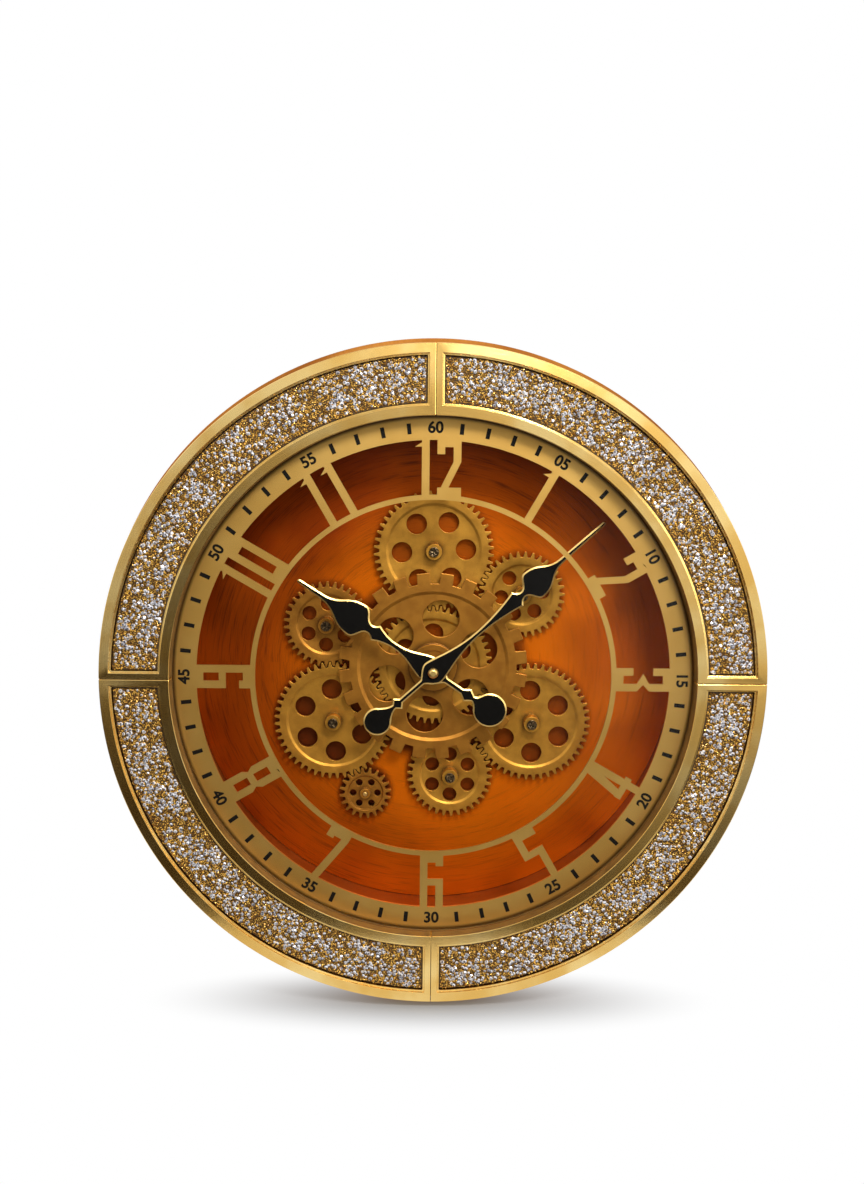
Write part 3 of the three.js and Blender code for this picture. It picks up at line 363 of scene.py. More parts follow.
def arc(bm, radius, depth, start, stop):
    """Spins one vertex about the dial's axis and gives its arc's vertices in order."""
    first = bm.verts.new((radius * math.cos(start), -depth, radius * math.sin(start)))
    before = set(bm.verts)
    bmesh.ops.spin(bm, geom=[first], cent=(0, 0, 0), axis=FRONT, angle=stop - start, steps=QUARTER_STEPS)
    spun = [vert for vert in bm.verts if vert not in before]
    ahead = 1 if stop > start else -1
    return [first] + sorted(spun, key=lambda vert: ahead * math.atan2(vert.co.z, vert.co.x))


def quarter_outline(bm, inner, outer, side, depth):
    """Edges of a quarter ring's outline, whose straight ends stand off the two seams by side."""
    outer_start = math.asin(side / outer)
    inner_start = math.asin(side / inner)
    far = arc(bm, outer, depth, outer_start, QUARTER - outer_start)
    near = arc(bm, inner, depth, QUARTER - inner_start, inner_start)
    bm.edges.new((far[-1], near[0]))
    bm.edges.new((near[-1], far[0]))
    corners = far + near
    return [bm.edges.get(pair) for pair in zip(corners, corners[1:] + corners[:1])]


def filled(bm, *outlines):
    """Closes a flat outline. Further outlines inside it stay open as holes."""
    edges = [edge for outline_edges in outlines for edge in outline_edges]
    bmesh.ops.triangle_fill(bm, use_beauty=True, use_dissolve=False, edges=edges)


def drawn(bm, edges, travel, spread=1):
    """Draws an outline forwards as a wall, wider or narrower by spread, and gives its far end's outline."""
    made = bmesh.ops.extrude_edge_only(bm, edges=edges)["geom"]
    moved = [item for item in made if isinstance(item, bmesh.types.BMVert)]
    bmesh.ops.translate(bm, verts=moved, vec=(0, -travel, 0))
    bmesh.ops.scale(bm, verts=moved, vec=(spread, 1, spread))
    far = set(moved)
    return [item for item in made if isinstance(item, bmesh.types.BMEdge) and far.issuperset(item.verts)]


def put(bm, matrix):
    """Moves all that a bmesh holds."""
    bmesh.ops.transform(bm, matrix=matrix, verts=bm.verts)


def quarter_frame():
    """Bezel quarter from 12 to 3 o'clock, whose front falls away a little outwards and to its window."""
    bm = bmesh.new()
    low, high = BEZEL_BORE + BAND, BEZEL_RADIUS - BAND
    lip_front = BEZEL_FRONT - LIP_DEPTH
    rim = quarter_outline(bm, BEZEL_BORE, BEZEL_RADIUS, SEAM_HALF, BEZEL_FRONT)
    window = quarter_outline(bm, low, high, DIVIDER_HALF, BEZEL_FRONT)
    tray = quarter_outline(bm, low + LIP_WIDTH, high - LIP_WIDTH, DIVIDER_HALF + LIP_WIDTH, lip_front)
    filled(bm, drawn(bm, rim, BEZEL_BACK - BEZEL_FRONT))
    filled(bm, drawn(bm, window, -LIP_DEPTH), tray)
    filled(bm, drawn(bm, tray, TRAY_FLOOR - lip_front))
    outer_rim = {vert for edge in rim for vert in edge.verts if vert.co.xz.length > high}
    bmesh.ops.translate(bm, verts=list(outer_rim), vec=(0, OUTER_FALL, 0))
    inner_sill = {vert for edge in window for vert in edge.verts if vert.co.xz.length < (low + high) / 2}
    bmesh.ops.translate(bm, verts=list(inner_sill), vec=(0, INNER_FALL, 0))
    filled(bm, rim, window)
    soften(bm, FRAME_ROUNDING)
    # The bore takes the dull gold that is darkened as painted shade.
    for face in bm.faces:
        face.material_index = int(all(vert.co.xz.length < BEZEL_BORE + BORE_SKIN for vert in face.verts))
    return bm


gold_finish = finish("brushed_gold", brushed_gold)
for index, corner in enumerate(QUARTERS):
    quarter = quarter_frame()
    put(quarter, turn(90 * index, "Y"))
    add_piece(f"quarter_frame_{corner}", quarter, [gold_finish, dull_shaded_gold], "case", "gold", f"bezel_{corner}")


# Stones: each tray holds a bed of fine gold grains with round cut clear stones pressed into it, closer in
# some patches than in others. Glass and foil-backed glass, set in dark glue.
BED_DEPTH = 0.1157
BED_BACK = 0.1103
BED_GLUE = 0.0008
BED_EDGE = 0.0007
GRAIN_PITCH = 0.0017
GRAIN_SIZE = (0.0006, 0.0011)
GRAIN_SQUASH = (1, 0.8, 0.85)
GRAIN_RISE = (-0.0004, 0.0007)
GRAIN_TILT = 1.5
STONE_PITCH = 0.0034
STONE_SIZE = (0.0011, 0.0020)
STONE_RISE = (0.0006, 0.0014)
STONE_TILT = 0.42
STONE_SIDES = 8
STONE_HEIGHT = 0.7
STONE_TABLE = 0.5
STONE_SHARE = 0.58
PATCH_SCALE = 42
PATCH_SHARE = 0.5
PATCH_STEP = 0.5
ROW_STEP = math.sqrt(3) / 2
JITTER = 0.3
FIRST_SEED = 11
FACE_ON = 0.95
GLUE = (0.020, 0.012, 0.005, 1)
GLUE_PALE = (0.12, 0.06, 0.012, 1)
AMBER = (1.0, 0.60, 0.11, 1)
AMBER_DARK = (0.28, 0.12, 0.017, 1)
CLEAR = (0.87, 0.87, 0.91, 1)
CLEAR_GREY = (0.36, 0.36, 0.41, 1)
TABLE_GREY = (0.16, 0.15, 0.165, 1)


def loose_grain(bm):
    bmesh.ops.create_icosphere(bm, subdivisions=1, radius=1)
    bmesh.ops.scale(bm, vec=GRAIN_SQUASH, verts=bm.verts)


def round_stone(bm):
    """Cut stone of unit radius: a flat table with one row of facets, looking along -Y."""
    bmesh.ops.create_cone(
        bm, cap_ends=True, segments=STONE_SIDES, radius1=1, radius2=STONE_TABLE, depth=STONE_HEIGHT,
        matrix=turn(90, "X"))


def cut_shape(name, make, side_finish, table_finish):
    """A small mesh that is laid down many times, with its front face in a finish of its own."""
    bm = bmesh.new()
    make(bm)
    for face in bm.faces:
        face.material_index = table_finish if face.normal.dot(FRONT) > FACE_ON else side_finish
    return mesh_of(name, bm)


def slab(bm, outlines, thickness):
    """Closes a flat outline, with the others as its holes, and draws them forwards to a closed face."""
    filled(bm, *outlines)
    filled(bm, *[drawn(bm, edges, thickness) for edges in outlines])


def spots(pitch, margin, chance):
    """Places on a loose hexagonal grid in the upper right quarter, kept clear of the bed's edge."""
    line = 0
    z = bed_side
    while z < bed_high:
        x = bed_side + (pitch / 2 if line % 2 else 0)
        while x < bed_high:
            shift = [chance.uniform(-JITTER, JITTER) * pitch for _ in range(2)]
            spot = Vector((x + shift[0], 0, z + shift[1]))
            inside = bed_low + margin < spot.length < bed_high - margin
            if inside and min(spot.x, spot.z) > bed_side + margin:
                yield spot
            x += pitch
        z += pitch * ROW_STEP
        line += 1


def lay(bm, shape, spot, size, rise, tilt, chance):
    """Puts one copy of a cut shape into the bed at a chance size, height and angle."""
    scale = chance.uniform(*size)
    depth = BED_DEPTH + chance.uniform(*rise)
    spin = Matrix.Rotation(chance.uniform(0, math.tau), 4, "Y")
    lean_x = Matrix.Rotation(chance.uniform(-tilt, tilt), 4, "X")
    lean_z = Matrix.Rotation(chance.uniform(-tilt, tilt), 4, "Z")
    place = Matrix.Translation((spot.x, -depth, spot.z)) @ lean_x @ lean_z @ spin @ Matrix.Scale(scale, 4)
    shape.transform(place)
    bm.from_mesh(shape)
    shape.transform(place.inverted())


bed_finishes = [
    mottled("dark_glue", GLUE, GLUE_PALE, (0.5, 0.7), scale=600, detail=2),
    mottled(
        "amber_grain", AMBER_DARK, AMBER, (0.14, 0.24), scale=520, detail=1, edges=(0.38, 0.62),
        Metallic=0.35),
    mottled(
        "clear_stone", CLEAR_GREY, CLEAR, (0.06, 0.14), scale=260, detail=1, edges=(0.3, 0.55), Metallic=0.1),
    mottled(
        "stone_table", TABLE_GREY, CLEAR, (0.05, 0.15), scale=340, detail=1, edges=(0.45, 0.8), Metallic=0.3),
]
grain_shape = cut_shape("grain_shape", loose_grain, 1, 1)
stone_shape = cut_shape("stone_shape", round_stone, 2, 3)
bed_low = BEZEL_BORE + BAND + LIP_WIDTH + BED_EDGE
bed_high = BEZEL_RADIUS - BAND - LIP_WIDTH - BED_EDGE
bed_side = DIVIDER_HALF + LIP_WIDTH + BED_EDGE
for index, corner in enumerate(QUARTERS):
    chance = random.Random(FIRST_SEED + index)
    bed = bmesh.new()
    glue_front = quarter_outline(bed, bed_low, bed_high, bed_side, BED_DEPTH - BED_GLUE)
    slab(bed, [glue_front], BED_BACK - BED_DEPTH + BED_GLUE)
    tidy(bed)
    for spot in spots(GRAIN_PITCH, GRAIN_SIZE[0], chance):
        lay(bed, grain_shape, spot, GRAIN_SIZE, GRAIN_RISE, GRAIN_TILT, chance)
    for spot in spots(STONE_PITCH, STONE_SIZE[1], chance):
        patch = noise.noise(Vector((spot.x, index * PATCH_STEP, spot.z)) * PATCH_SCALE)
        if chance.random() < STONE_SHARE + PATCH_SHARE * patch:
            lay(bed, stone_shape, spot, STONE_SIZE, STONE_RISE, STONE_TILT, chance)
    put(bed, turn(90 * index, "Y"))
    add_piece(f"stones_{corner}", bed, bed_finishes, "case", "crystal", f"crystals_{corner}")


# Copper plate: the dial's background, a flat disc on the drum's ledge that carries the gear train, brushed
# by hand in circles. Copper under clear lacquer, orange in the middle, with painted shade that browns it
# towards the rim, the top and the left, and painted shadows behind the gears and the bridge.
PLATE_FRONT = 0.024
PLATE_RADIUS = 0.2287
PLATE_BORE = 0.0073
SHAFT_HOLE = 0.0023
PLATE_ROUNDING = 0.0003
MODULE = 0.00225
LARGE_TEETH = 48
IDLER_TEETH = 34
PINION_TEETH = 20
PLANETS = {"top": 90, "left": 210, "right": 330}
PLANET_CIRCLE = 0.108
IDLER_CIRCLE = 0.107
PINION_DIRECTION = -66.8
BRIDGE_TIP = 0.0885
# Painted gear shadows on the plate: soft edge, base depth, random part and lean to the lower left.
GEAR_SHADOW_FADE = (-0.004, 0.005)
GEAR_SHADOW_SHARE = 0.5
GEAR_SHADOW_CLOUD = 0.4
GEAR_SHADOW_LEAN = (0.8, 1.5)
# Painted shade on the plate: rim band, weight, lean to the top left and share of the dark copper.
SHADE_START = (0.08, 0.21)
SHADE_RIM = 0.75
SHADE_LEAN = 1.8
DEEP_SHADE = 0.85
DEEP_CLOUD = 0.3
FINE_SHARE = 0.6
STROKE_TONE = 0.26
STROKE_SHADE = 0.5
COPPER = (1.0, 0.205, 0.001, 1)
# Dark copper for random clouds and painted shade; brown for brush strokes and painted gear shadows.
COPPER_CLOUD_AND_SHADE = (0.42, 0.055, 0.001, 1)
COPPER_STROKE_AND_SHADOW = (0.085, 0.016, 0.004, 1)


def direction(radius, degrees):
    return Vector((radius * math.cos(math.radians(degrees)), radius * math.sin(math.radians(degrees))))


def pitch_radius(teeth):
    return MODULE * teeth / 2


def circle(bm, radius, depth, steps=ROUND_STEPS, at=(0, 0)):
    """Edges of a round outline that faces the viewer."""
    stand = Matrix.Translation((at[0], -depth, at[1])) @ turn(90, "X")
    made = bmesh.ops.create_circle(bm, segments=steps, radius=radius, matrix=stand)["verts"]
    return [edge for vert in made for edge in vert.link_edges if edge.verts[0] == vert]


def brushed_copper(shade):
    fine = shade.noise(shade.circles(across=1300, along=8), detail=5)
    broad = shade.noise(shade.circles(across=200, along=2.2), detail=3)
    cloud = shade.noise(shade.place(), scale=9, detail=3)
    x, _, z = shade.axes(shade.place())
    rim = shade.off_centre().between(*SHADE_START)
    # Painted shade: the copper darkens towards the rim, the top and the left.
    painted_shade = (SHADE_RIM * rim + SHADE_LEAN * (z - x)).between(0, 1)
    # Painted shadows: a soft dark disc behind each gear and behind the bridge.
    outside_gear_shadows = 1
    for spot, radius in gear_shadows:
        aside, above = x - spot.x, z - spot.y
        away = (aside * aside + above * above) ** 0.5
        outside_gear_shadows = outside_gear_shadows * (away - radius).between(*GEAR_SHADOW_FADE)
    deep = painted_shade * DEEP_SHADE + cloud.between(0.45, 0.75) * DEEP_CLOUD
    base = deep.at_most_one().blend(COPPER, COPPER_CLOUD_AND_SHADE)
    # Painted gear shadows are deeper in random clouds and towards the lower left.
    gear_shadow_depth = GEAR_SHADOW_SHARE + GEAR_SHADOW_CLOUD * cloud - GEAR_SHADOW_LEAN[0] * x - GEAR_SHADOW_LEAN[1] * z
    gear_shadowed = gear_shadow_depth.at_most_one().blend(base, COPPER_STROKE_AND_SHADOW)
    brushed = (fine * FINE_SHARE + broad * (1 - FINE_SHARE)).between(0.48, 0.70)
    # Brush strokes, stronger where the painted shade falls.
    stroke = brushed * (STROKE_TONE + STROKE_SHADE * painted_shade)
    return shade.surface(
        Base_Color=stroke.blend(outside_gear_shadows.blend(gear_shadowed, base), COPPER_STROKE_AND_SHADOW), Metallic=0.8,
        Roughness=0.32 + 0.2 * fine, Specular_IOR_Level=0.25, Coat_Weight=0.04, Coat_Roughness=0.1,
        Normal=shade.raised(fine, 0.00008),
    )


idler_distance = pitch_radius(LARGE_TEETH) + pitch_radius(IDLER_TEETH)
idler_lead = math.degrees(math.acos(
    (PLANET_CIRCLE ** 2 + IDLER_CIRCLE ** 2 - idler_distance ** 2) / (2 * PLANET_CIRCLE * IDLER_CIRCLE)))
wheel_spots = {}
# Painted shadows on the plate: a disc behind the bridge and behind each gear, as wide as its teeth reach.
gear_shadows = [(Vector((0, 0)), BRIDGE_TIP)]
for side, degrees in PLANETS.items():
    wheel_spots[f"planet_{side}"] = direction(PLANET_CIRCLE, degrees)
    wheel_spots[f"idler_{side}"] = direction(IDLER_CIRCLE, degrees - idler_lead)
    gear_shadows.append((wheel_spots[f"planet_{side}"], pitch_radius(LARGE_TEETH) + MODULE))
    gear_shadows.append((wheel_spots[f"idler_{side}"], pitch_radius(IDLER_TEETH) + MODULE))
pinion_distance = pitch_radius(LARGE_TEETH) + pitch_radius(PINION_TEETH)
pinion_spot = wheel_spots["planet_left"] + direction(pinion_distance, PINION_DIRECTION)
gear_shadows.append((pinion_spot, pitch_radius(PINION_TEETH) + MODULE))
plate = bmesh.new()
plate_outlines = [
    circle(plate, PLATE_RADIUS, PLATE_BACK, WIDE_STEPS), circle(plate, PLATE_BORE, PLATE_BACK),
    circle(plate, SHAFT_HOLE, PLATE_BACK, at=pinion_spot),
]
slab(plate, plate_outlines, PLATE_FRONT - PLATE_BACK)
soften(plate, PLATE_ROUNDING)
add_piece("dial_plate", plate, [finish("brushed_copper", brushed_copper)], "case", "copper", "copper_plate")


# Gears: a sun gear on the hand centre, three large gears round it, three idlers and the motor's pinion,
# each with a toothed rim, a sunk web with six round holes and a hub. Cast in antique brass, some darker
# than others, and turning on plain posts.
GEAR_BACK = 0.029
GEAR_FRONT = 0.034
WEB_FRONT = 0.0328
GEAR_ROUNDING = 0.0003
DEDENDUM = 1.25
TIP_SHARE = 0.24
ROOT_SHARE = 0.6
WEB_STEPS = 96
WEB_HOLES = 6
LARGE_GEAR = SimpleNamespace(
    teeth=LARGE_TEETH, rim=0.0065, slope=0.0022, hole=0.0096, hole_circle=0.030, hub=0.0074, hub_front=0.045,
    bore=0.0044,
)
IDLER_GEAR = SimpleNamespace(
    teeth=IDLER_TEETH, rim=0.0065, slope=0.0020, hole=0.0066, hole_circle=0.0195, hub=0.0074, hub_front=0.045,
    bore=0.0044,
)
PINION = SimpleNamespace(
    teeth=PINION_TEETH, rim=0.0026, slope=0.0009, hole=0.0032, hole_circle=0.0116, hub=0.005, hub_front=0.037,
    bore=0.0023,
)
SUN_GEAR = SimpleNamespace(**{**vars(LARGE_GEAR), "hub": 0.012, "hub_front": 0.038, "bore": 0.0074})
SUN_TURN = 90
HOLE_TURNS = {
    "planet_top": 63, "planet_left": 33.7, "planet_right": 32, "idler_top": 8, "idler_left": 27.5,
    "idler_right": 30,
}
BRASS = (0.64, 0.300, 0.036, 1)
BRASS_DARK = (0.48, 0.21, 0.024, 1)
DARKER_BRASS = (0.50, 0.205, 0.024, 1)
DARKER_BRASS_DEEP = (0.38, 0.145, 0.016, 1)
PATINA = (0.085, 0.034, 0.006, 1)
PATINA_REACH = 0.006


def antique_brass(name, bright, dark):
    """Cast brass with a dark patina left in its corners."""
    def make(shade):
        cloud = shade.noise(shade.place(), scale=90, detail=5).between(0.3, 0.75)
        speckle = shade.noise(shade.place(), scale=1100, detail=3)
        open_face = shade.hollows(PATINA_REACH).between(0.45, 1.0)
        return shade.surface(
            Base_Color=open_face.blend(PATINA, cloud.blend(bright, dark)), Metallic=0.8,
            Roughness=0.34 + 0.2 * speckle, Normal=shade.raised(speckle, 0.00005),
        )

    return finish(name, make)


def outline(bm, points, depth):
    """Edges of a closed flat outline given as (x, z) points."""
    corners = [bm.verts.new((x, -depth, z)) for x, z in points]
    return [bm.edges.new(pair) for pair in zip(corners, corners[1:] + corners[:1])]


def toothed(bm, teeth, root, tip, root_share, tip_share, depth):
    """Edges round straight-sided teeth. The first tooth points along +X."""
    tooth = [(root, -root_share / 2), (tip, -tip_share / 2), (tip, tip_share / 2), (root, root_share / 2)]
    spokes = [(radius, (index + share) * 360 / teeth) for index in range(teeth) for radius, share in tooth]
    return outline(bm, [direction(radius, degrees) for radius, degrees in spokes], depth)


def offset(at):
    """Shift from the dial's centre to a place on the dial."""
    return Matrix.Translation((at[0], 0, at[1]))


def heading(start, end):
    return math.degrees(math.atan2(end[1] - start[1], end[0] - start[0]))


def meshed(driver_teeth, driver_turn, teeth, degrees):
    """Turn at which a gear's teeth fall between those of the gear that it meets in a direction."""
    driver_offset = (driver_turn - degrees) * driver_teeth / 360
    return degrees + 180 + (0.5 - driver_offset) * 360 / teeth


def six_holes(bm, radius, hole_circle, first, depth, steps=ROUND_STEPS):
    """Outlines of six round holes in a web, the first of them in the given direction."""
    places = [direction(hole_circle, first + index * 360 / WEB_HOLES) for index in range(WEB_HOLES)]
    return [circle(bm, radius, depth, steps, place) for place in places]


def add_gear(name, body, sizes, at, tooth_turn, hole_turn, node, brass):
    bm = bmesh.new()
    root = pitch_radius(sizes.teeth) - DEDENDUM * MODULE
    tip = pitch_radius(sizes.teeth) + MODULE
    rim = toothed(bm, sizes.teeth, root, tip, ROOT_SHARE, TIP_SHARE, GEAR_FRONT)
    ledge_radius = root - sizes.rim
    ledge = circle(bm, ledge_radius, GEAR_FRONT, WEB_STEPS)
    filled(bm, rim, ledge)
    web = drawn(bm, ledge, WEB_FRONT - GEAR_FRONT, 1 - sizes.slope / ledge_radius)
    holes = six_holes(bm, sizes.hole, sizes.hole_circle, hole_turn - tooth_turn, WEB_FRONT)
    foot = circle(bm, sizes.hub, WEB_FRONT)
    filled(bm, web, foot, *holes)
    bore = circle(bm, sizes.bore, sizes.hub_front)
    filled(bm, drawn(bm, foot, sizes.hub_front - WEB_FRONT), bore)
    rear = [drawn(bm, rim, GEAR_BACK - GEAR_FRONT), drawn(bm, bore, GEAR_BACK - sizes.hub_front)]
    filled(bm, *rear, *[drawn(bm, hole, GEAR_BACK - WEB_FRONT) for hole in holes])
    soften(bm, GEAR_ROUNDING)
    put(bm, offset(at) @ turn(-tooth_turn, "Y"))
    add_piece(name, bm, [brass], body, "brass", node)


brass_finish = antique_brass("antique_brass", BRASS, BRASS_DARK)
darker_brass_finish = antique_brass("darker_brass", DARKER_BRASS, DARKER_BRASS_DEEP)
add_gear("sun_wheel", "sun", SUN_GEAR, (0, 0), SUN_TURN, SUN_TURN, "sun_gear", brass_finish)
for side, degrees in PLANETS.items():
    planet, idler = f"planet_{side}", f"idler_{side}"
    planet_turn = meshed(LARGE_TEETH, SUN_TURN, LARGE_TEETH, degrees)
    add_gear(
        f"large_wheel_{side}", planet, LARGE_GEAR, wheel_spots[planet], planet_turn, HOLE_TURNS[planet],
        f"planet_gear_{side}", brass_finish)
    to_idler = heading(wheel_spots[planet], wheel_spots[idler])
    idler_turn = meshed(LARGE_TEETH, planet_turn, IDLER_TEETH, to_idler)
    # The left idler takes the darker brass.
    add_gear(
        f"idler_wheel_{side}", idler, IDLER_GEAR, wheel_spots[idler], idler_turn, HOLE_TURNS[idler],
        f"idler_gear_{side}", darker_brass_finish if side == "left" else brass_finish)
    if side == "left":
        pinion_turn = meshed(LARGE_TEETH, planet_turn, PINION_TEETH, PINION_DIRECTION)
add_gear("pinion_wheel", "pinion", PINION, pinion_spot, pinion_turn, 0, "drive_pinion", darker_brass_finish)


# Posts and screws: a shouldered brass pin riveted to the copper plate for each gear round the sun gear,
# closed by a dark cross-head screw. The pinion sits on the motor's own gilt shaft instead.
POST_FOOT = 0.007
POST_RADIUS = 0.004
POST_SHOULDER = 0.0286
POST_ROUNDING = 0.0003
SCREW_BACK = 0.0454
SCREW_FRONT = 0.0476
SCREW_RADIUS = 0.0047
SCREW_ROUNDING = 0.00035
CROSS = SimpleNamespace(length=0.0056, width=0.0013, depth=0.001)
SHAFT_RADIUS = 0.002
SHAFT_BACK = 0.0223
SHAFT_FRONT = 0.0385
SHAFT_ROUNDING = 0.0005
DARK_STEEL = (0.08, 0.052, 0.028, 1)
DARK_STEEL_WORN = (0.30, 0.20, 0.10, 1)


def bar(radius, back, front, bore=0):
    """Profile of a plain round bar or ring."""
    return [(bore, back), (radius, back), (radius, front), (bore, front)]


def cross_head(bm, radius, base, face, cross):
    """Screw head about the dial's axis, from its base to its face, with a cross sunk into the face."""
    ahead = 1 if face > base else -1
    long, short = cross.length / 2, cross.width / 2
    arm = [(long, -short), (long, short), (short, short)]
    points = []
    for quarter_turns in range(4):
        points += [turn(-90 * quarter_turns, "Y") @ Vector((x, 0, z)) for x, z in arm]
    rim = circle(bm, radius, face)
    sunk = outline(bm, [(point.x, point.z) for point in points], face)
    filled(bm, rim, sunk)
    filled(bm, drawn(bm, rim, base - face))
    filled(bm, drawn(bm, sunk, -ahead * cross.depth))


steel_finish = mottled(
    "dark_steel", DARK_STEEL, DARK_STEEL_WORN, (0.3, 0.45), scale=700, detail=4, edges=(0.45, 0.7),
    Metallic=1.0)
satin_finish = mottled(
    "satin_gold", GOLD, GOLD_PALE, (0.3, 0.44), scale=1200, detail=3, bump=0.00003, Metallic=1.0)
post_profile = [
    (0, PLATE_FRONT), (POST_FOOT, PLATE_FRONT), (POST_FOOT, POST_SHOULDER), (POST_RADIUS, POST_SHOULDER),
    (POST_RADIUS, SCREW_BACK), (0, SCREW_BACK),
]
for name, at in wheel_spots.items():
    wheel, side = name.split("_")
    add_turned(
        f"pin_{name}", post_profile, POST_ROUNDING, brass_finish, "case", "brass", f"{wheel}_post_{side}",
        at=at)
    screw = bmesh.new()
    cross_head(screw, SCREW_RADIUS, SCREW_BACK, SCREW_FRONT, CROSS)
    soften(screw, SCREW_ROUNDING)
    put(screw, offset(at) @ turn(-HOLE_TURNS[name], "Y"))
    add_piece(f"cross_screw_{name}", screw, [steel_finish], "case", "dark_steel", f"{wheel}_screw_{side}")
add_turned(
    "gilt_shaft", bar(SHAFT_RADIUS, SHAFT_BACK, SHAFT_FRONT), SHAFT_ROUNDING, satin_finish, "pinion", "gold",
    "motor_shaft", at=pinion_spot)


# Bridge: a cog-edged brass plate over the sun gear with a dished middle, six round windows and a centre
# boss. Cast like the gears and screwed down on three pillars that stand on the copper plate.
BRIDGE_BACK = 0.039
BRIDGE_FRONT = 0.043
BRIDGE_TEETH = 24
BRIDGE_ROOT = 0.0785
BRIDGE_ROOT_SHARE = 0.62
BRIDGE_TIP_SHARE = 0.52
BRIDGE_TURN = -8.5
DISH_RADIUS = 0.0712
DISH_DEPTH = 0.0012
DISH_SLOPE = 0.003
BRIDGE_HOLE = 0.0172
BRIDGE_HOLE_CIRCLE = 0.0459
BRIDGE_HOLE_TURN = 21
BOSS_RADIUS = 0.022
BOSS_FRONT = 0.047
BOSS_STEP = 0.016
BOSS_SINK = 0.0009
BOSS_STEPS = 48
BRIDGE_BORE = 0.0073
BRIDGE_ROUNDING = 0.0005
PILLAR_RADIUS = 0.004
PILLAR_CIRCLE = 0.072
PILLARS = {"top": 127, "left": 247, "right": 7}

bridge = bmesh.new()
cogs = toothed(
    bridge, BRIDGE_TEETH, BRIDGE_ROOT, BRIDGE_TIP, BRIDGE_ROOT_SHARE, BRIDGE_TIP_SHARE, BRIDGE_FRONT)
dish_edge = circle(bridge, DISH_RADIUS, BRIDGE_FRONT, WEB_STEPS)
filled(bridge, cogs, dish_edge)
dish_front = BRIDGE_FRONT - DISH_DEPTH
windows = six_holes(
    bridge, BRIDGE_HOLE, BRIDGE_HOLE_CIRCLE, BRIDGE_HOLE_TURN - BRIDGE_TURN, dish_front, BOSS_STEPS)
boss = circle(bridge, BOSS_RADIUS, dish_front, BOSS_STEPS)
dish = drawn(bridge, dish_edge, -DISH_DEPTH, 1 - DISH_SLOPE / DISH_RADIUS)
filled(bridge, dish, boss, *windows)
boss_step = circle(bridge, BOSS_STEP, BOSS_FRONT, BOSS_STEPS)
filled(bridge, drawn(bridge, boss, BOSS_FRONT - dish_front), boss_step)
boss_bore = circle(bridge, BRIDGE_BORE, BOSS_FRONT - BOSS_SINK)
filled(bridge, drawn(bridge, boss_step, -BOSS_SINK), boss_bore)
rear_cogs = drawn(bridge, cogs, BRIDGE_BACK - BRIDGE_FRONT)
rear_bore = drawn(bridge, boss_bore, BRIDGE_BACK - BOSS_FRONT + BOSS_SINK)
filled(bridge, rear_cogs, rear_bore, *[drawn(bridge, window, BRIDGE_BACK - dish_front) for window in windows])
soften(bridge, BRIDGE_ROUNDING)
put(bridge, turn(-BRIDGE_TURN, "Y"))
add_piece("cog_bridge", bridge, [darker_brass_finish], "case", "brass", "bridge_plate")
for side, degrees in PILLARS.items():
    add_turned(
        f"pillar_{side}", bar(PILLAR_RADIUS, PLATE_FRONT, BRIDGE_BACK), POST_ROUNDING, brass_finish, "case",
        "brass", f"bridge_pillar_{side}", at=direction(PILLAR_CIRCLE, degrees))


# Hand centre: a fixed brass tube through the bridge, the hour pipe turning in it and the steel arbor of the
# minute hand in that, closed by a gilt nut.
TUBE_BORE = 0.0053
TUBE_RADIUS = 0.007
TUBE_FLANGE = 0.011
TUBE_FRONT = 0.064
PIPE_BORE = 0.0032
PIPE_RADIUS = 0.0048
PIPE_FRONT = 0.0703
ARBOR_RADIUS = 0.0028
ARBOR_FRONT = 0.0775
NUT_PROFILE = (
    (0, 0.0778), (0.0031, 0.0778), (0.0031, 0.0753), (0.0048, 0.0753), (0.0048, 0.0778), (0.0034, 0.0792),
    (0.0022, 0.0795), (0, 0.0795),
)
CENTRE_ROUNDING = 0.0002
STEEL = (0.50, 0.49, 0.46, 1)
STEEL_DULL = (0.36, 0.35, 0.33, 1)

plain_steel = mottled(
    "plain_steel", STEEL, STEEL_DULL, (0.28, 0.44), scale=240, detail=4, edges=(0.4, 0.7), Metallic=1.0)
tube_profile = [
    (TUBE_BORE, PLATE_BACK), (TUBE_RADIUS, PLATE_BACK), (TUBE_RADIUS, PLATE_FRONT),
    (TUBE_FLANGE, PLATE_FRONT), (TUBE_FLANGE, POST_SHOULDER), (TUBE_RADIUS, POST_SHOULDER),
    (TUBE_RADIUS, TUBE_FRONT), (TUBE_BORE, TUBE_FRONT),
]
pipe_profile = bar(PIPE_RADIUS, SHAFT_BACK, PIPE_FRONT, PIPE_BORE)
arbor_profile = bar(ARBOR_RADIUS, SHAFT_BACK, ARBOR_FRONT)
for name, profile, material, body, slot, node in (
    ("fixed_tube", tube_profile, brass_finish, "case", "brass", "centre_tube"),
    ("turning_pipe", pipe_profile, brass_finish, "hour", "brass", "hour_pipe"),
    ("steel_arbor", arbor_profile, plain_steel, "minute", "steel", "minute_arbor"),
    ("gilt_nut", NUT_PROFILE, satin_finish, "minute", "gold", "hand_nut"),
):
    add_turned(name, profile, CENTRE_ROUNDING, material, body, slot, node)


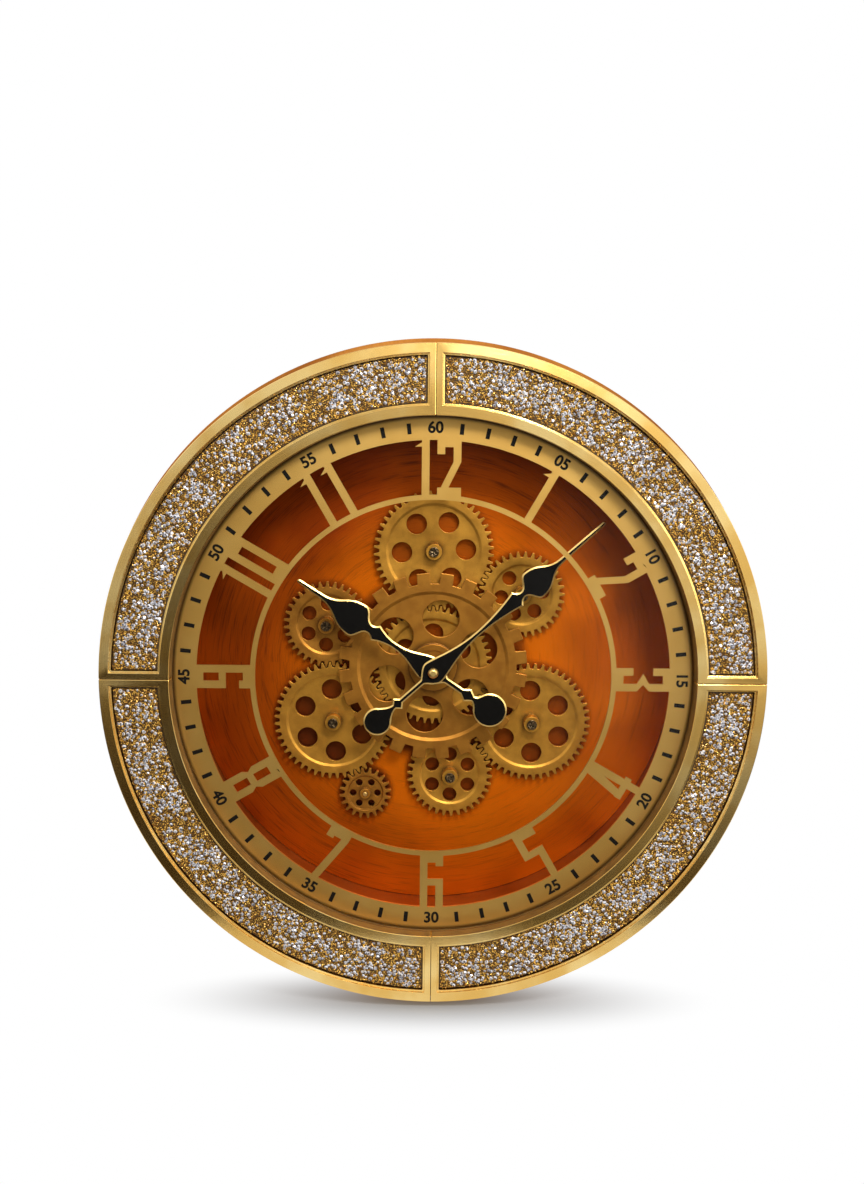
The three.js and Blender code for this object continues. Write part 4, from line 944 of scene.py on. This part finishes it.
# Hands: sheet metal with a leaf on a barbed stem and a disc for the tail, black with sloped gilt edges.
# Pressed on the hour pipe and on the minute arbor. They stand at eight minutes past ten. A pair of sizes is
# a half width and its distance from the centre.
HAND_EDGE = 0.0013
HAND_SLOPE = 0.0006
HAND_THICKNESS = 0.002
HAND_STEPS = 12
HUB_FOOT = 1.2
TAIL_FLARE = 45
TAIL_STEP = 5
TIP_STEP = 30
CORNER_PULL = 2 / 3
HOUR_HAND = SimpleNamespace(
    back=0.068, bore=0.0051, turn=304, length=0.1497, hub=0.0125, shoulder=0.017, waist=(0.0028, 0.043),
    barb=(0.008, 0.0638), neck=(0.0043, 0.070), blade=(0.016, 0.0845), needle=(0.0025, 0.124), tip=0.0018,
    tail=(0.0156, 0.0633), tail_stem=0.0027, tail_barb=(0.0066, 0.0383), tail_barb_half=0.006, flare=0.0035,
)
MINUTE_HAND = SimpleNamespace(
    back=0.073, bore=0.0031, turn=48, length=0.2074, hub=0.0114, shoulder=0.008, waist=(0.0022, 0.054),
    barb=(0.008, 0.1023), neck=(0.0031, 0.109), blade=(0.014, 0.122), needle=(0.0024, 0.1555), tip=0.0017,
    tail=(0.0127, 0.0685), tail_stem=0.0024, tail_barb=(0.0063, 0.0433), tail_barb_half=0.0042, flare=0.004,
)
BLACK = (0.0020, 0.0016, 0.0013, 1)
BLACK_SOFT = (0.0045, 0.0036, 0.0028, 1)


def bend(start, first, second, end):
    """Points of a curve between two points, without its end. It leaves and arrives along the middle two."""
    knots = [Vector(point) for point in (start, first, second, end)]
    return geometry.interpolate_bezier(*knots, HAND_STEPS)[:-1]


def sweep(start, corner, end):
    """Points of a curve that sets out for a corner and turns to its end before it gets there."""
    start, corner, end = Vector(start), Vector(corner), Vector(end)
    return bend(start, start.lerp(corner, CORNER_PULL), end.lerp(corner, CORNER_PULL), end)


def swell(start, end):
    """Points of a curve that leaves and arrives along the hand."""
    middle = (start[1] + end[1]) / 2
    return bend(start, (start[0], middle), (end[0], middle), end)


def hand_side(hand):
    """Right side of a hand as (half width, distance) points, from the end of the tail to the tip."""
    tail_radius, tail_at = hand.tail
    tail_centre = Vector((0, -tail_at))
    tip_centre = Vector((0, hand.length - hand.tip))
    barb_half, barb_at = hand.tail_barb
    barb_back = (hand.tail_stem, -barb_at - hand.tail_barb_half)
    barb_front = (hand.tail_stem, hand.tail_barb_half - barb_at)
    hub_foot = (hand.tail_stem, -HUB_FOOT * hand.hub)
    hub_side = (hand.hub, 0)
    waist_half, waist_at = hand.waist
    stem_middle = (waist_at + hand.barb[1]) / 2
    neck_foot = (hand.barb[1] + hand.neck[1]) / 2
    flare = tail_centre + direction(tail_radius, TAIL_FLARE)
    flare_end = flare + direction(hand.flare, TAIL_FLARE + 90)
    return [
        *[tail_centre + direction(tail_radius, degrees) for degrees in range(-90, TAIL_FLARE, TAIL_STEP)],
        *bend(flare, flare_end, (barb_back[0], barb_back[1] - hand.flare), barb_back),
        barb_back, (barb_half, -barb_at), barb_front,
        *bend(hub_foot, (hand.tail_stem, -hand.hub), (hand.hub, -hand.hub / 2), hub_side),
        *bend(hub_side, (hand.hub, hand.shoulder), (waist_half, waist_at / 2), hand.waist),
        *sweep(hand.waist, (waist_half, stem_middle), hand.barb),
        *sweep(hand.barb, (hand.neck[0], neck_foot), hand.neck),
        *swell(hand.neck, hand.blade),
        *swell(hand.blade, hand.needle),
        hand.needle,
        *[tip_centre + direction(hand.tip, degrees) for degrees in range(0, 91, TIP_STEP)],
    ]


def add_hand(name, body, node, hand):
    bm = bmesh.new()
    right = hand_side(hand)
    left = [(-half, along) for half, along in reversed(right[1:-1])]
    brink = hand.back + HAND_THICKNESS - HAND_SLOPE
    slab(bm, [outline(bm, right + left, brink), circle(bm, hand.bore, brink)], hand.back - brink)
    tidy(bm)
    face_on = [face for face in bm.faces if face.normal.dot(FRONT) > FACE_ON]
    bmesh.ops.inset_region(
        bm, faces=face_on, thickness=HAND_EDGE, depth=HAND_SLOPE, use_even_offset=True, use_boundary=True)
    for face in bm.faces:
        face.material_index = 0 if abs(face.normal.dot(FRONT)) > FACE_ON else 1
    put(bm, turn(hand.turn, "Y"))
    add_piece(name, bm, [black_enamel, satin_finish], body, "black", node)


black_enamel = mottled(
    "black_enamel", BLACK, BLACK_SOFT, (0.42, 0.54), scale=300, detail=3, bump=0.00002,
    Specular_IOR_Level=0.1)
add_hand("leaf_hour_hand", "hour", "hour_hand", HOUR_HAND)
add_hand("leaf_minute_hand", "minute", "minute_hand", MINUTE_HAND)


# Chapter ring: minute track, thin inner ring and twelve skeleton numerals, cut from one metal sheet that
# lies in the drum's rebate. Matt tan-gold lacquer, with a painted shadow of the bezel along the rim. The
# numerals from 4 to 8 stand with their tops inwards.
RING_FRONT = 0.1015
RING_RADIUS = 0.2323
TRACK_BORE = 0.2113
INNER_RING = (0.159, 0.1636)
DIGIT_HALF = 0.0105
DIGIT_TOP = 0.02385
DIGIT_REACH = 0.02535
STROKE = 0.0068
BAR = 0.0062
FLAG = 0.006
TWO_DROP = 0.0124
TWO_RUN = 0.019
THREE_DROP = 0.015
THREE_WAIST = 0.0055
THREE_NOTCH = 0.0045
FOUR_STEM = 0.0045
FOUR_BAR = 0.0096
FOUR_APEX = -0.004
FIVE_BAR = 0.023
SIX_BAR = 0.020
SIX_DROP = 0.0096
SEVEN_DROP = 0.009
SEVEN_FOOT = -0.0007
EIGHT_NOTCH = 0.005
EIGHT_PINCH = 0.003
NUMERAL_CIRCLE = 0.18745
PAIR_OFFSETS = (-0.0085, 0.0122)
INVERTED_HOURS = range(4, 9)
TAN = (0.68, 0.38, 0.085, 1)
TAN_PALE = (0.76, 0.45, 0.115, 1)
# Painted shadow of the bezel: its dark colour, its band along the rim and its strength.
TAN_RIM_SHADOW = (0.045, 0.020, 0.006, 1)
RIM_SHADOW_BAND = (0.2285, 0.2318)
RIM_SHADOW_SHARE = 0.85


def tan_lacquer(shade):
    speckle = shade.noise(shade.place(), scale=900, detail=3)
    tan_tone = shade.noise(shade.place(), scale=18, detail=3).between(0.35, 0.7).blend(TAN, TAN_PALE)
    # Painted shadow: the bezel's shadow laid as a dark band along the ring's rim.
    rim_shadow = RIM_SHADOW_SHARE * shade.off_centre().between(*RIM_SHADOW_BAND)
    return shade.surface(
        Base_Color=rim_shadow.blend(tan_tone, TAN_RIM_SHADOW), Metallic=0.9, Roughness=0.34 + 0.14 * speckle,
        Normal=shade.raised(speckle, 0.00003),
    )


def block(left, low, right, high):
    return [(left, low), (right, low), (right, high), (left, high)]


def digit_strokes():
    """Strokes of each digit as outlines about its centre. They overlap, and reach into the rings."""
    half, top, reach = DIGIT_HALF, DIGIT_TOP, DIGIT_REACH
    left_inside, right_inside = STROKE - half, half - STROKE
    over = block(-half, top - BAR, half, reach)
    under = block(-half, -reach, half, BAR - top)
    left_stroke = block(-half, -reach, left_inside, reach)
    right_stroke = block(right_inside, -reach, half, reach)

    def cross_bar(height):
        return block(-half, height - top, half, height - top + BAR)

    def left_drop(height):
        return block(-half, top - height, left_inside, reach)

    def waist(side):
        outer, inner = side * half, side * right_inside
        return [
            (outer, -reach), (outer, -EIGHT_NOTCH), (outer - side * EIGHT_PINCH, 0), (outer, EIGHT_NOTCH),
            (outer, reach), (inner, reach), (inner, -reach),
        ]

    return {
        "0": [left_stroke, right_stroke, over, under],
        "1": [
            block(-STROKE / 2, -reach, STROKE / 2, reach),
            [(0, top), (-STROKE / 2 - FLAG, top - FLAG), (0, top - FLAG)],
        ],
        "2": [
            left_drop(TWO_DROP), over, under, block(right_inside, top - TWO_RUN, half, reach),
            [(right_inside, top - TWO_RUN), (-half, -top), (-half, -reach), (left_inside, -top),
             (half, top - TWO_RUN), (half, top - BAR)],
        ],
        "3": [
            left_drop(THREE_DROP), over, under, block(-half, -reach, left_inside, THREE_DROP - top),
            [(half, -reach), (half, -THREE_WAIST), (THREE_NOTCH, 0), (half, THREE_WAIST), (half, reach),
             (right_inside, reach), (right_inside, THREE_WAIST), (-THREE_WAIST, 0),
             (right_inside, -THREE_WAIST), (right_inside, -reach)],
        ],
        "4": [
            block(FOUR_STEM - STROKE / 2, -reach, FOUR_STEM + STROKE / 2, reach), cross_bar(FOUR_BAR),
            [(-half, FOUR_BAR + BAR / 2 - top), (left_inside, FOUR_BAR + BAR / 2 - top), (FOUR_STEM, top),
             (FOUR_STEM, reach), (FOUR_APEX, reach), (FOUR_APEX, top)],
        ],
        "5": [
            over, cross_bar(FIVE_BAR), block(-half, FIVE_BAR - top, left_inside, reach),
            block(right_inside, -reach, half, FIVE_BAR - top + BAR),
        ],
        "6": [
            left_stroke, over, cross_bar(SIX_BAR), block(right_inside, top - SIX_DROP, half, reach),
            block(right_inside, -reach, half, SIX_BAR - top + BAR),
        ],
        "7": [
            over, left_drop(SEVEN_DROP),
            [(right_inside, top - BAR), (SEVEN_FOOT - STROKE / 2, -reach), (SEVEN_FOOT + STROKE / 2, -reach),
             (half, top - BAR), (half, reach), (right_inside, reach)],
        ],
        "8": [
            waist(-1), waist(1), over, under,
            block(EIGHT_PINCH - half, -BAR / 2, half - EIGHT_PINCH, BAR / 2),
        ],
        "9": [
            right_stroke, over, under, block(-half, -reach, left_inside, SIX_DROP - top),
            left_drop(SIX_BAR + BAR), block(-half, top - SIX_BAR - BAR, half, top - SIX_BAR),
        ],
    }


rings = bmesh.new()
for low, high in (INNER_RING, (TRACK_BORE, RING_RADIUS)):
    turned(rings, bar(high, RING_BACK, RING_FRONT, low), WIDE_STEPS)
tidy(rings)
strokes = bmesh.new()
digits = digit_strokes()
for hour in range(1, 13):
    upside = turn(180, "Y") if hour in INVERTED_HOURS else Matrix()
    place = turn(30 * hour, "Y") @ Matrix.Translation((0, 0, NUMERAL_CIRCLE)) @ upside
    figure = str(hour)
    for digit, aside in zip(figure, PAIR_OFFSETS if len(figure) > 1 else (0,)):
        for points in digits[digit]:
            stroke = bmesh.new()
            back = outline(stroke, [(x + aside, z) for x, z in points], RING_BACK)
            slab(stroke, [back], RING_FRONT - RING_BACK)
            put(stroke, place)
            tidy(stroke)
            strokes.from_mesh(mesh_of("stroke", stroke))
ring_sheet = add_object("ring_sheet", mesh_of("ring_sheet", rings))
numerals = add_object("numerals", mesh_of("numerals", strokes))
union = ring_sheet.modifiers.new("union", "BOOLEAN")
union.operation = "UNION"
union.solver = "EXACT"
union.use_self = True
union.object = numerals
sheet = bmesh.new()
sheet.from_object(ring_sheet, bpy.context.evaluated_depsgraph_get())
bpy.data.objects.remove(ring_sheet)
bpy.data.objects.remove(numerals)
add_piece("numeral_ring", sheet, [finish("tan_lacquer", tan_lacquer)], "case", "matt_gold", "chapter_ring")


# Minute print: black ticks between the hours and a minute number at each hour, printed on the track.
# Ink film. The numbers from 20 to 40 stand with their tops inwards.
TICK_WIDTH = 0.0036
TICK_LENGTH = 0.0094
PRINT_CIRCLE = 0.2218
PRINT_LIFT = 0.00003
PRINT_FILM = 0.00005
FIGURE_SIZE = 0.0138
FIGURE_BOLD = 0.00045
INVERTED_MINUTES = range(20, 41)
INK = (0.004, 0.003, 0.0025, 1)
INK_THIN = (0.014, 0.011, 0.008, 1)


def figures(words):
    """Plain figures as a thin mesh about their own centre, standing upright to face the viewer."""
    letters = bpy.data.curves.new("figures", "FONT")
    letters.body = words
    letters.align_x = "CENTER"
    letters.align_y = "CENTER"
    letters.size = FIGURE_SIZE
    letters.bevel_depth = FIGURE_BOLD
    letters.bevel_resolution = 0
    maker = add_object("figures", letters)
    made = bpy.data.meshes.new_from_object(maker.evaluated_get(bpy.context.evaluated_depsgraph_get()))
    bpy.data.objects.remove(maker)
    made.transform(Matrix.Diagonal((1, PRINT_FILM / 2 / FIGURE_BOLD, 1, 1)) @ turn(90, "X"))
    return made


ink = bmesh.new()
for minute in range(60):
    stand = turn(6 * minute, "Y") @ Matrix.Translation((0, -RING_FRONT - PRINT_LIFT, PRINT_CIRCLE))
    if minute % 5:
        flat = Matrix.Diagonal((TICK_WIDTH, PRINT_FILM, TICK_LENGTH, 1))
        bmesh.ops.create_cube(ink, size=1, matrix=stand @ flat)
    else:
        words = figures(f"{minute or 60:02d}")
        words.transform(stand @ turn(180 if minute in INVERTED_MINUTES else 0, "Y"))
        ink.from_mesh(words)
black_ink = mottled(
    "black_ink", INK, INK_THIN, (0.45, 0.65), scale=1500, detail=2, Specular_IOR_Level=0.1)
add_piece("minute_print", ink, [black_ink], "case", "black")


# Cover glass: one clear flat pane behind the bezel's inner edge, resting on the drum.
# Float glass with ground edges, held by the bezel.
GLASS_FRONT = 0.1067
GLASS_ROUNDING = 0.0003
GLASS_SHINE = 0.006
GLASS_RIM_SHINE = 0.6
GLASS_TINT = (0.985, 0.99, 0.985, 1)
GLASS_ROUGHNESS = 0.02
WHITE = (1, 1, 1, 1)


def clear_glass(shade):
    aslant = shade.node("LayerWeight", {}, {"Blend": 0.5}, "Facing")
    shining = GLASS_SHINE + GLASS_RIM_SHINE * aslant ** 5
    through = shade.node("BsdfTransparent", {}, {"Color": GLASS_TINT})
    shine = shade.node("BsdfGlossy", {}, {"Color": WHITE, "Roughness": GLASS_ROUGHNESS})
    return shade.node("MixShader", {}, {0: shining, 1: through, 2: shine})


add_turned(
    "clear_pane", bar(DRUM_RADIUS, GLASS_BACK, GLASS_FRONT), GLASS_ROUNDING,
    finish("clear_glass", clear_glass), "case", "glass", "cover_glass", WIDE_STEPS)


# Back panel: a black fibreboard disc that closes the case, cut for the movement, the battery door, the
# switch and the hanger. Four cross-head screws hold it to the hoop's rear flange.
PANEL_RADIUS = 0.2965
PANEL_FRONT = 0.004
PANEL_ROUNDING = 0.0005
MOVEMENT_WINDOW = (-0.030, -0.044, 0.030, -0.009)
DOOR_WINDOW = (0.05505, -0.1443, 0.10495, -0.1157)
SWITCH_WINDOW = (0.074, -0.1065, 0.086, -0.1015)
HANGER_WINDOW = (-0.008, 0.248, 0.008, 0.276)
BACK_SCREW_CIRCLE = 0.2905
BACK_SCREW_HEAD = 0.0038
BACK_SCREW_BACK = 0.0003
BACK_SCREW_SEAT = 0.0017
BACK_SCREW_ROUNDING = 0.0002
BACK_CROSS = SimpleNamespace(length=0.0044, width=0.001, depth=0.0007)
SCREW_POCKET = 0.0041
SCREW_POCKET_DEPTH = 0.002
SCREW_HOLE = 0.002
SCREW_SHANK = 0.0017
SCREW_TIP = 0.0085
BOARD = (0.014, 0.013, 0.012, 1)
BOARD_DUSTY = (0.040, 0.037, 0.033, 1)


def fibreboard(shade):
    fibres = shade.noise(shade.place(), scale=520, detail=5)
    dust = shade.noise(shade.place(), scale=9, detail=4).between(0.45, 0.8)
    return shade.surface(
        Base_Color=(0.35 * fibres + 0.4 * dust).at_most_one().blend(BOARD, BOARD_DUSTY),
        Roughness=0.62 + 0.25 * fibres, Normal=shade.raised(fibres, 0.00015),
    )


panel = bmesh.new()
panel_outlines = [circle(panel, PANEL_RADIUS, 0, WIDE_STEPS)]
for window in (MOVEMENT_WINDOW, DOOR_WINDOW, SWITCH_WINDOW, HANGER_WINDOW):
    panel_outlines.append(outline(panel, block(*window), 0))
panel_fronts = [drawn(panel, edges, PANEL_FRONT) for edges in panel_outlines]
screw_spots = [direction(BACK_SCREW_CIRCLE, 45 + 90 * index) for index in range(4)]
for spot in screw_spots:
    pocket = circle(panel, SCREW_POCKET, 0, at=spot)
    hole = circle(panel, SCREW_HOLE, SCREW_POCKET_DEPTH, at=spot)
    panel_outlines.append(pocket)
    filled(panel, drawn(panel, pocket, SCREW_POCKET_DEPTH), hole)
    panel_fronts.append(drawn(panel, hole, PANEL_FRONT - SCREW_POCKET_DEPTH))
filled(panel, *panel_outlines)
filled(panel, *panel_fronts)
soften(panel, PANEL_ROUNDING)
add_piece("fibre_panel", panel, [finish("fibreboard", fibreboard)], "case", "board", "back_panel")
for number, spot in enumerate(screw_spots, 1):
    screw = bmesh.new()
    cross_head(screw, BACK_SCREW_HEAD, BACK_SCREW_SEAT, BACK_SCREW_BACK, BACK_CROSS)
    turned(screw, bar(SCREW_SHANK, BACK_SCREW_SEAT, SCREW_TIP))
    soften(screw, BACK_SCREW_ROUNDING)
    put(screw, offset(spot))
    add_piece(f"panel_screw_{number}", screw, [steel_finish], "case", "dark_steel", f"back_screw_{number}")


# Works behind the panel: hanger plate, quartz movement with its cell, gear motor, battery box with two cells
# and switch body. Pressed steel, moulded black plastic and shrink-sleeved cells, shown as their CAD solids.
PLASTIC = (0.012, 0.012, 0.013, 1)
PLASTIC_WORN = (0.030, 0.030, 0.031, 1)
SLEEVE = (0.025, 0.13, 0.04, 1)
SLEEVE_DARK = (0.010, 0.05, 0.016, 1)
WORKS_ROUNDING = 0.0004
WORKS_SHARP = math.radians(50)

moulded_plastic = mottled(
    "moulded_plastic", PLASTIC, PLASTIC_WORN, (0.42, 0.58), scale=40, detail=3, edges=(0.5, 0.8),
    grit=(1800, 2), bump=0.00004)
cell_sleeve = mottled(
    "cell_sleeve", SLEEVE, SLEEVE_DARK, (0.25, 0.45), scale=300, detail=3, edges=(0.4, 0.7), grit=(300, 3),
    Metallic=0.3)
works = {
    "hanger_plate": plain_steel, "gear_motor": plain_steel, "movement_case": moulded_plastic,
    "battery_box": moulded_plastic, "switch_body": moulded_plastic, "movement_cell": cell_sleeve,
    "motor_cell_upper": cell_sleeve, "motor_cell_lower": cell_sleeve,
}
for node, material in works.items():
    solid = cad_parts[node]
    solid.data.materials.clear()
    solid.data.materials.append(material)
    weld = solid.modifiers.new("weld", "WELD")
    weld.merge_threshold = SAME_PLACE
    rounding = solid.modifiers.new("rounding", "BEVEL")
    rounding.width = WORKS_ROUNDING
    rounding.segments = 2
    rounding.limit_method = "ANGLE"
    rounding.angle_limit = WORKS_SHARP


# Setting knob, battery door and switch slider: the parts that a hand reaches from behind. Red knurled knob
# on the movement, snap-in door over the motor's cells and slider, both moulded with finger grooves.
KNOB_PLACE = (0.016, -0.0155)
KNOB_RADIUS = 0.0055
KNOB_ROOT = 0.0051
KNOB_TEETH = 24
KNOB_ROOT_SHARE = 0.7
KNOB_TIP_SHARE = 0.4
KNOB_BACK = 0.001
KNOB_FRONT = 0.0043
KNOB_DISH = 0.0038
KNOB_DISH_DEPTH = 0.0006
KNOB_ROUNDING = 0.0001
DOOR = SimpleNamespace(
    middle=Vector((0.08, -0.13)), size=(0.0493, 0.028), back=0.0004, front=0.0037, grooves=6,
    groove=(0.018, 0.0008), pitch=Vector((0, 0.0024)), rounding=0.00015,
)
SLIDER = SimpleNamespace(
    middle=Vector((0.078, -0.104)), size=(0.005, 0.0044), back=0.0005, front=0.0037, grooves=3,
    groove=(0.0005, 0.003), pitch=Vector((0.0013, 0)), rounding=0.0001,
)
GROOVE_DEPTH = 0.0004
RED = (0.35, 0.014, 0.012, 1)
RED_DARK = (0.20, 0.009, 0.008, 1)


def rectangle(bm, middle, size, depth):
    half = Vector(size) / 2
    return outline(bm, block(*(middle - half), *(middle + half)), depth)


def add_grooved(name, sizes, body, node):
    """Moulded block with a row of shallow finger grooves in its rear face."""
    bm = bmesh.new()
    rim = rectangle(bm, sizes.middle, sizes.size, sizes.back)
    shifts = [(index - (sizes.grooves - 1) / 2) * sizes.pitch for index in range(sizes.grooves)]
    grooves = [rectangle(bm, sizes.middle + shift, sizes.groove, sizes.back) for shift in shifts]
    filled(bm, rim, *grooves)
    for groove in grooves:
        filled(bm, drawn(bm, groove, GROOVE_DEPTH))
    filled(bm, drawn(bm, rim, sizes.front - sizes.back))
    soften(bm, sizes.rounding)
    add_piece(name, bm, [moulded_plastic], body, "plastic", node)


knob = bmesh.new()
grip = toothed(knob, KNOB_TEETH, KNOB_ROOT, KNOB_RADIUS, KNOB_ROOT_SHARE, KNOB_TIP_SHARE, KNOB_BACK)
knob_dish = circle(knob, KNOB_DISH, KNOB_BACK)
filled(knob, grip, knob_dish)
filled(knob, drawn(knob, knob_dish, KNOB_DISH_DEPTH))
filled(knob, drawn(knob, grip, KNOB_FRONT - KNOB_BACK))
soften(knob, KNOB_ROUNDING)
put(knob, offset(KNOB_PLACE))
red_plastic = mottled("red_plastic", RED, RED_DARK, (0.38, 0.58), scale=500, detail=3)
add_piece("knurled_knob", knob, [red_plastic], "knob", "red_plastic", "set_knob")
add_grooved("grooved_door", DOOR, "door", "battery_door")
add_grooved("grooved_slider", SLIDER, "slider", "switch_slider")


# Floor, backdrop and light: a sheet of white paper that the clock's rim stands on. Close to the clock it
# is grey in a soft ellipse, a painted shadow that also shows the real one. A soft light hangs above and
# behind the clock, a smaller one above the camera and a weak one at the right. Shiny metal sees a dark
# room with a bright ceiling and bright panels at the left, at the right and low in front.
FLOOR_HEIGHT = -0.300
FLOOR_FRONT = -0.27
FLOOR_REAR = 2.5
FLOOR_HALF = 1.5
# Grey of the paper near the clock, a painted shadow darker than the white backdrop.
SHADOW_PAPER_GREY = (0.30, 0.305, 0.315, 1)
SHADOW_CENTRE = -0.10
SHADOW_REACH = (0.27, 0.080)
GLOW_NEAR = 0.05
GLOW_MIRRORED = 0.85
ROOM_LIGHT = 0.26
ROOM_DARK = (0.035, 0.025, 0.012, 1)
SKY_EDGE = (-0.05, 0.12)
SKY_TONE = 0.95
SKY_LEAN = 0.9
LEFT_PANEL = (0.30, 0.40)
LEFT_FOOT = (-0.20, -0.12)
LEFT_TONE = 0.75
RIGHT_PANEL = (0.06, 0.18)
RIGHT_FOOT = (-0.36, -0.15)
PANEL_TONE = 0.8
LOW_PANEL = (0.49, 0.54)
LOW_HALF = (0.10, 0.22)
LOW_END = (0.64, 0.74)


def white_paper(shade):
    """White paper, grey in a soft ellipse at the clock's foot as a painted shadow over the real one."""
    camera_ray = shade.node("LightPath", {}, {}, "Is Camera Ray")
    mirrored = (camera_ray.other("Is Glossy Ray") + camera_ray.other("Is Transmission Ray")).at_most_one()
    x, y, _ = shade.axes(shade.place())
    aside = x * (1 / SHADOW_REACH[0])
    ahead = (y - SHADOW_CENTRE) * (1 / SHADOW_REACH[1])
    away = ((aside * aside + ahead * ahead) ** 0.5).between(0, 1)
    # Painted shadow: the paper is grey inside the ellipse, darker than the backdrop also where light reaches
    # it.
    grey_paper = shade.node("BsdfDiffuse", {}, {"Color": SHADOW_PAPER_GREY})
    glow = shade.node("Emission", {}, {"Color": WHITE, "Strength": 1.0})
    share = camera_ray * (GLOW_NEAR + (1 - GLOW_NEAR) * away) + mirrored * GLOW_MIRRORED
    return shade.node("MixShader", {}, {0: share.at_most_one(), 1: grey_paper, 2: glow})


paper = bmesh.new()
floor_middle = Matrix.Translation((0, (FLOOR_FRONT + FLOOR_REAR) / 2, FLOOR_HEIGHT))
floor_spread = Matrix.Diagonal((FLOOR_HALF, (FLOOR_REAR - FLOOR_FRONT) / 2, 1, 1))
bmesh.ops.create_grid(paper, x_segments=1, y_segments=1, size=1, matrix=floor_middle @ floor_spread)
floor = add_object("paper_floor", mesh_of("paper_floor", paper))
floor.data.materials.append(finish("white_paper", white_paper))


def soft_light(name, place, size, power):
    """A soft light that looks at the dial's centre."""
    lamp = bpy.data.lights.new(name, "AREA")
    lamp.shape = "RECTANGLE"
    lamp.size, lamp.size_y = size
    lamp.energy = power
    light = add_object(name, lamp)
    light.location = place
    light.rotation_euler = (-Vector(place)).to_track_quat("-Z", "Y").to_euler()


soft_light("top_light", place=(-0.05, 0.22, 1.9), size=(0.9, 0.5), power=20)
soft_light("key_light", place=(0.3, -1.15, 0.9), size=(0.4, 0.35), power=17)
soft_light("side_light", place=(1.6, -1.4, 0.4), size=(0.5, 1.0), power=5)

world = bpy.data.worlds.new("studio")
scene.world = world
world.use_nodes = True
world.node_tree.nodes.clear()
sky = Shade(world.node_tree)
ray = sky.node("LightPath", {}, {}, "Is Camera Ray")
glossy = ray.other("Is Glossy Ray")
shown = (ray + glossy + ray.other("Is Transmission Ray")).at_most_one()
across, _, up = sky.axes(sky.node("TexCoord", {}, {}, "Generated"))
left_panel = (0 - across).between(*LEFT_PANEL) * up.between(*LEFT_FOOT)
right_panel = across.between(*RIGHT_PANEL) * up.between(*RIGHT_FOOT)
middle = 1 - sky.math("ABSOLUTE", across).between(*LOW_HALF)
low_panel = middle * (0 - up).between(*LOW_PANEL) * (1 - (0 - up).between(*LOW_END))
panels = LEFT_TONE * left_panel + PANEL_TONE * (right_panel + low_panel)
bright = (up.between(*SKY_EDGE) * (SKY_TONE + SKY_LEAN * across) + panels).at_most_one()
tone = (glossy * (1 - bright)).blend(WHITE, ROOM_DARK)
room = sky.node("Background", {}, {"Color": tone, "Strength": ROOM_LIGHT + (1 - ROOM_LIGHT) * shown})
world.node_tree.links.new(room.socket, world.node_tree.nodes.new("ShaderNodeOutputWorld").inputs["Surface"])
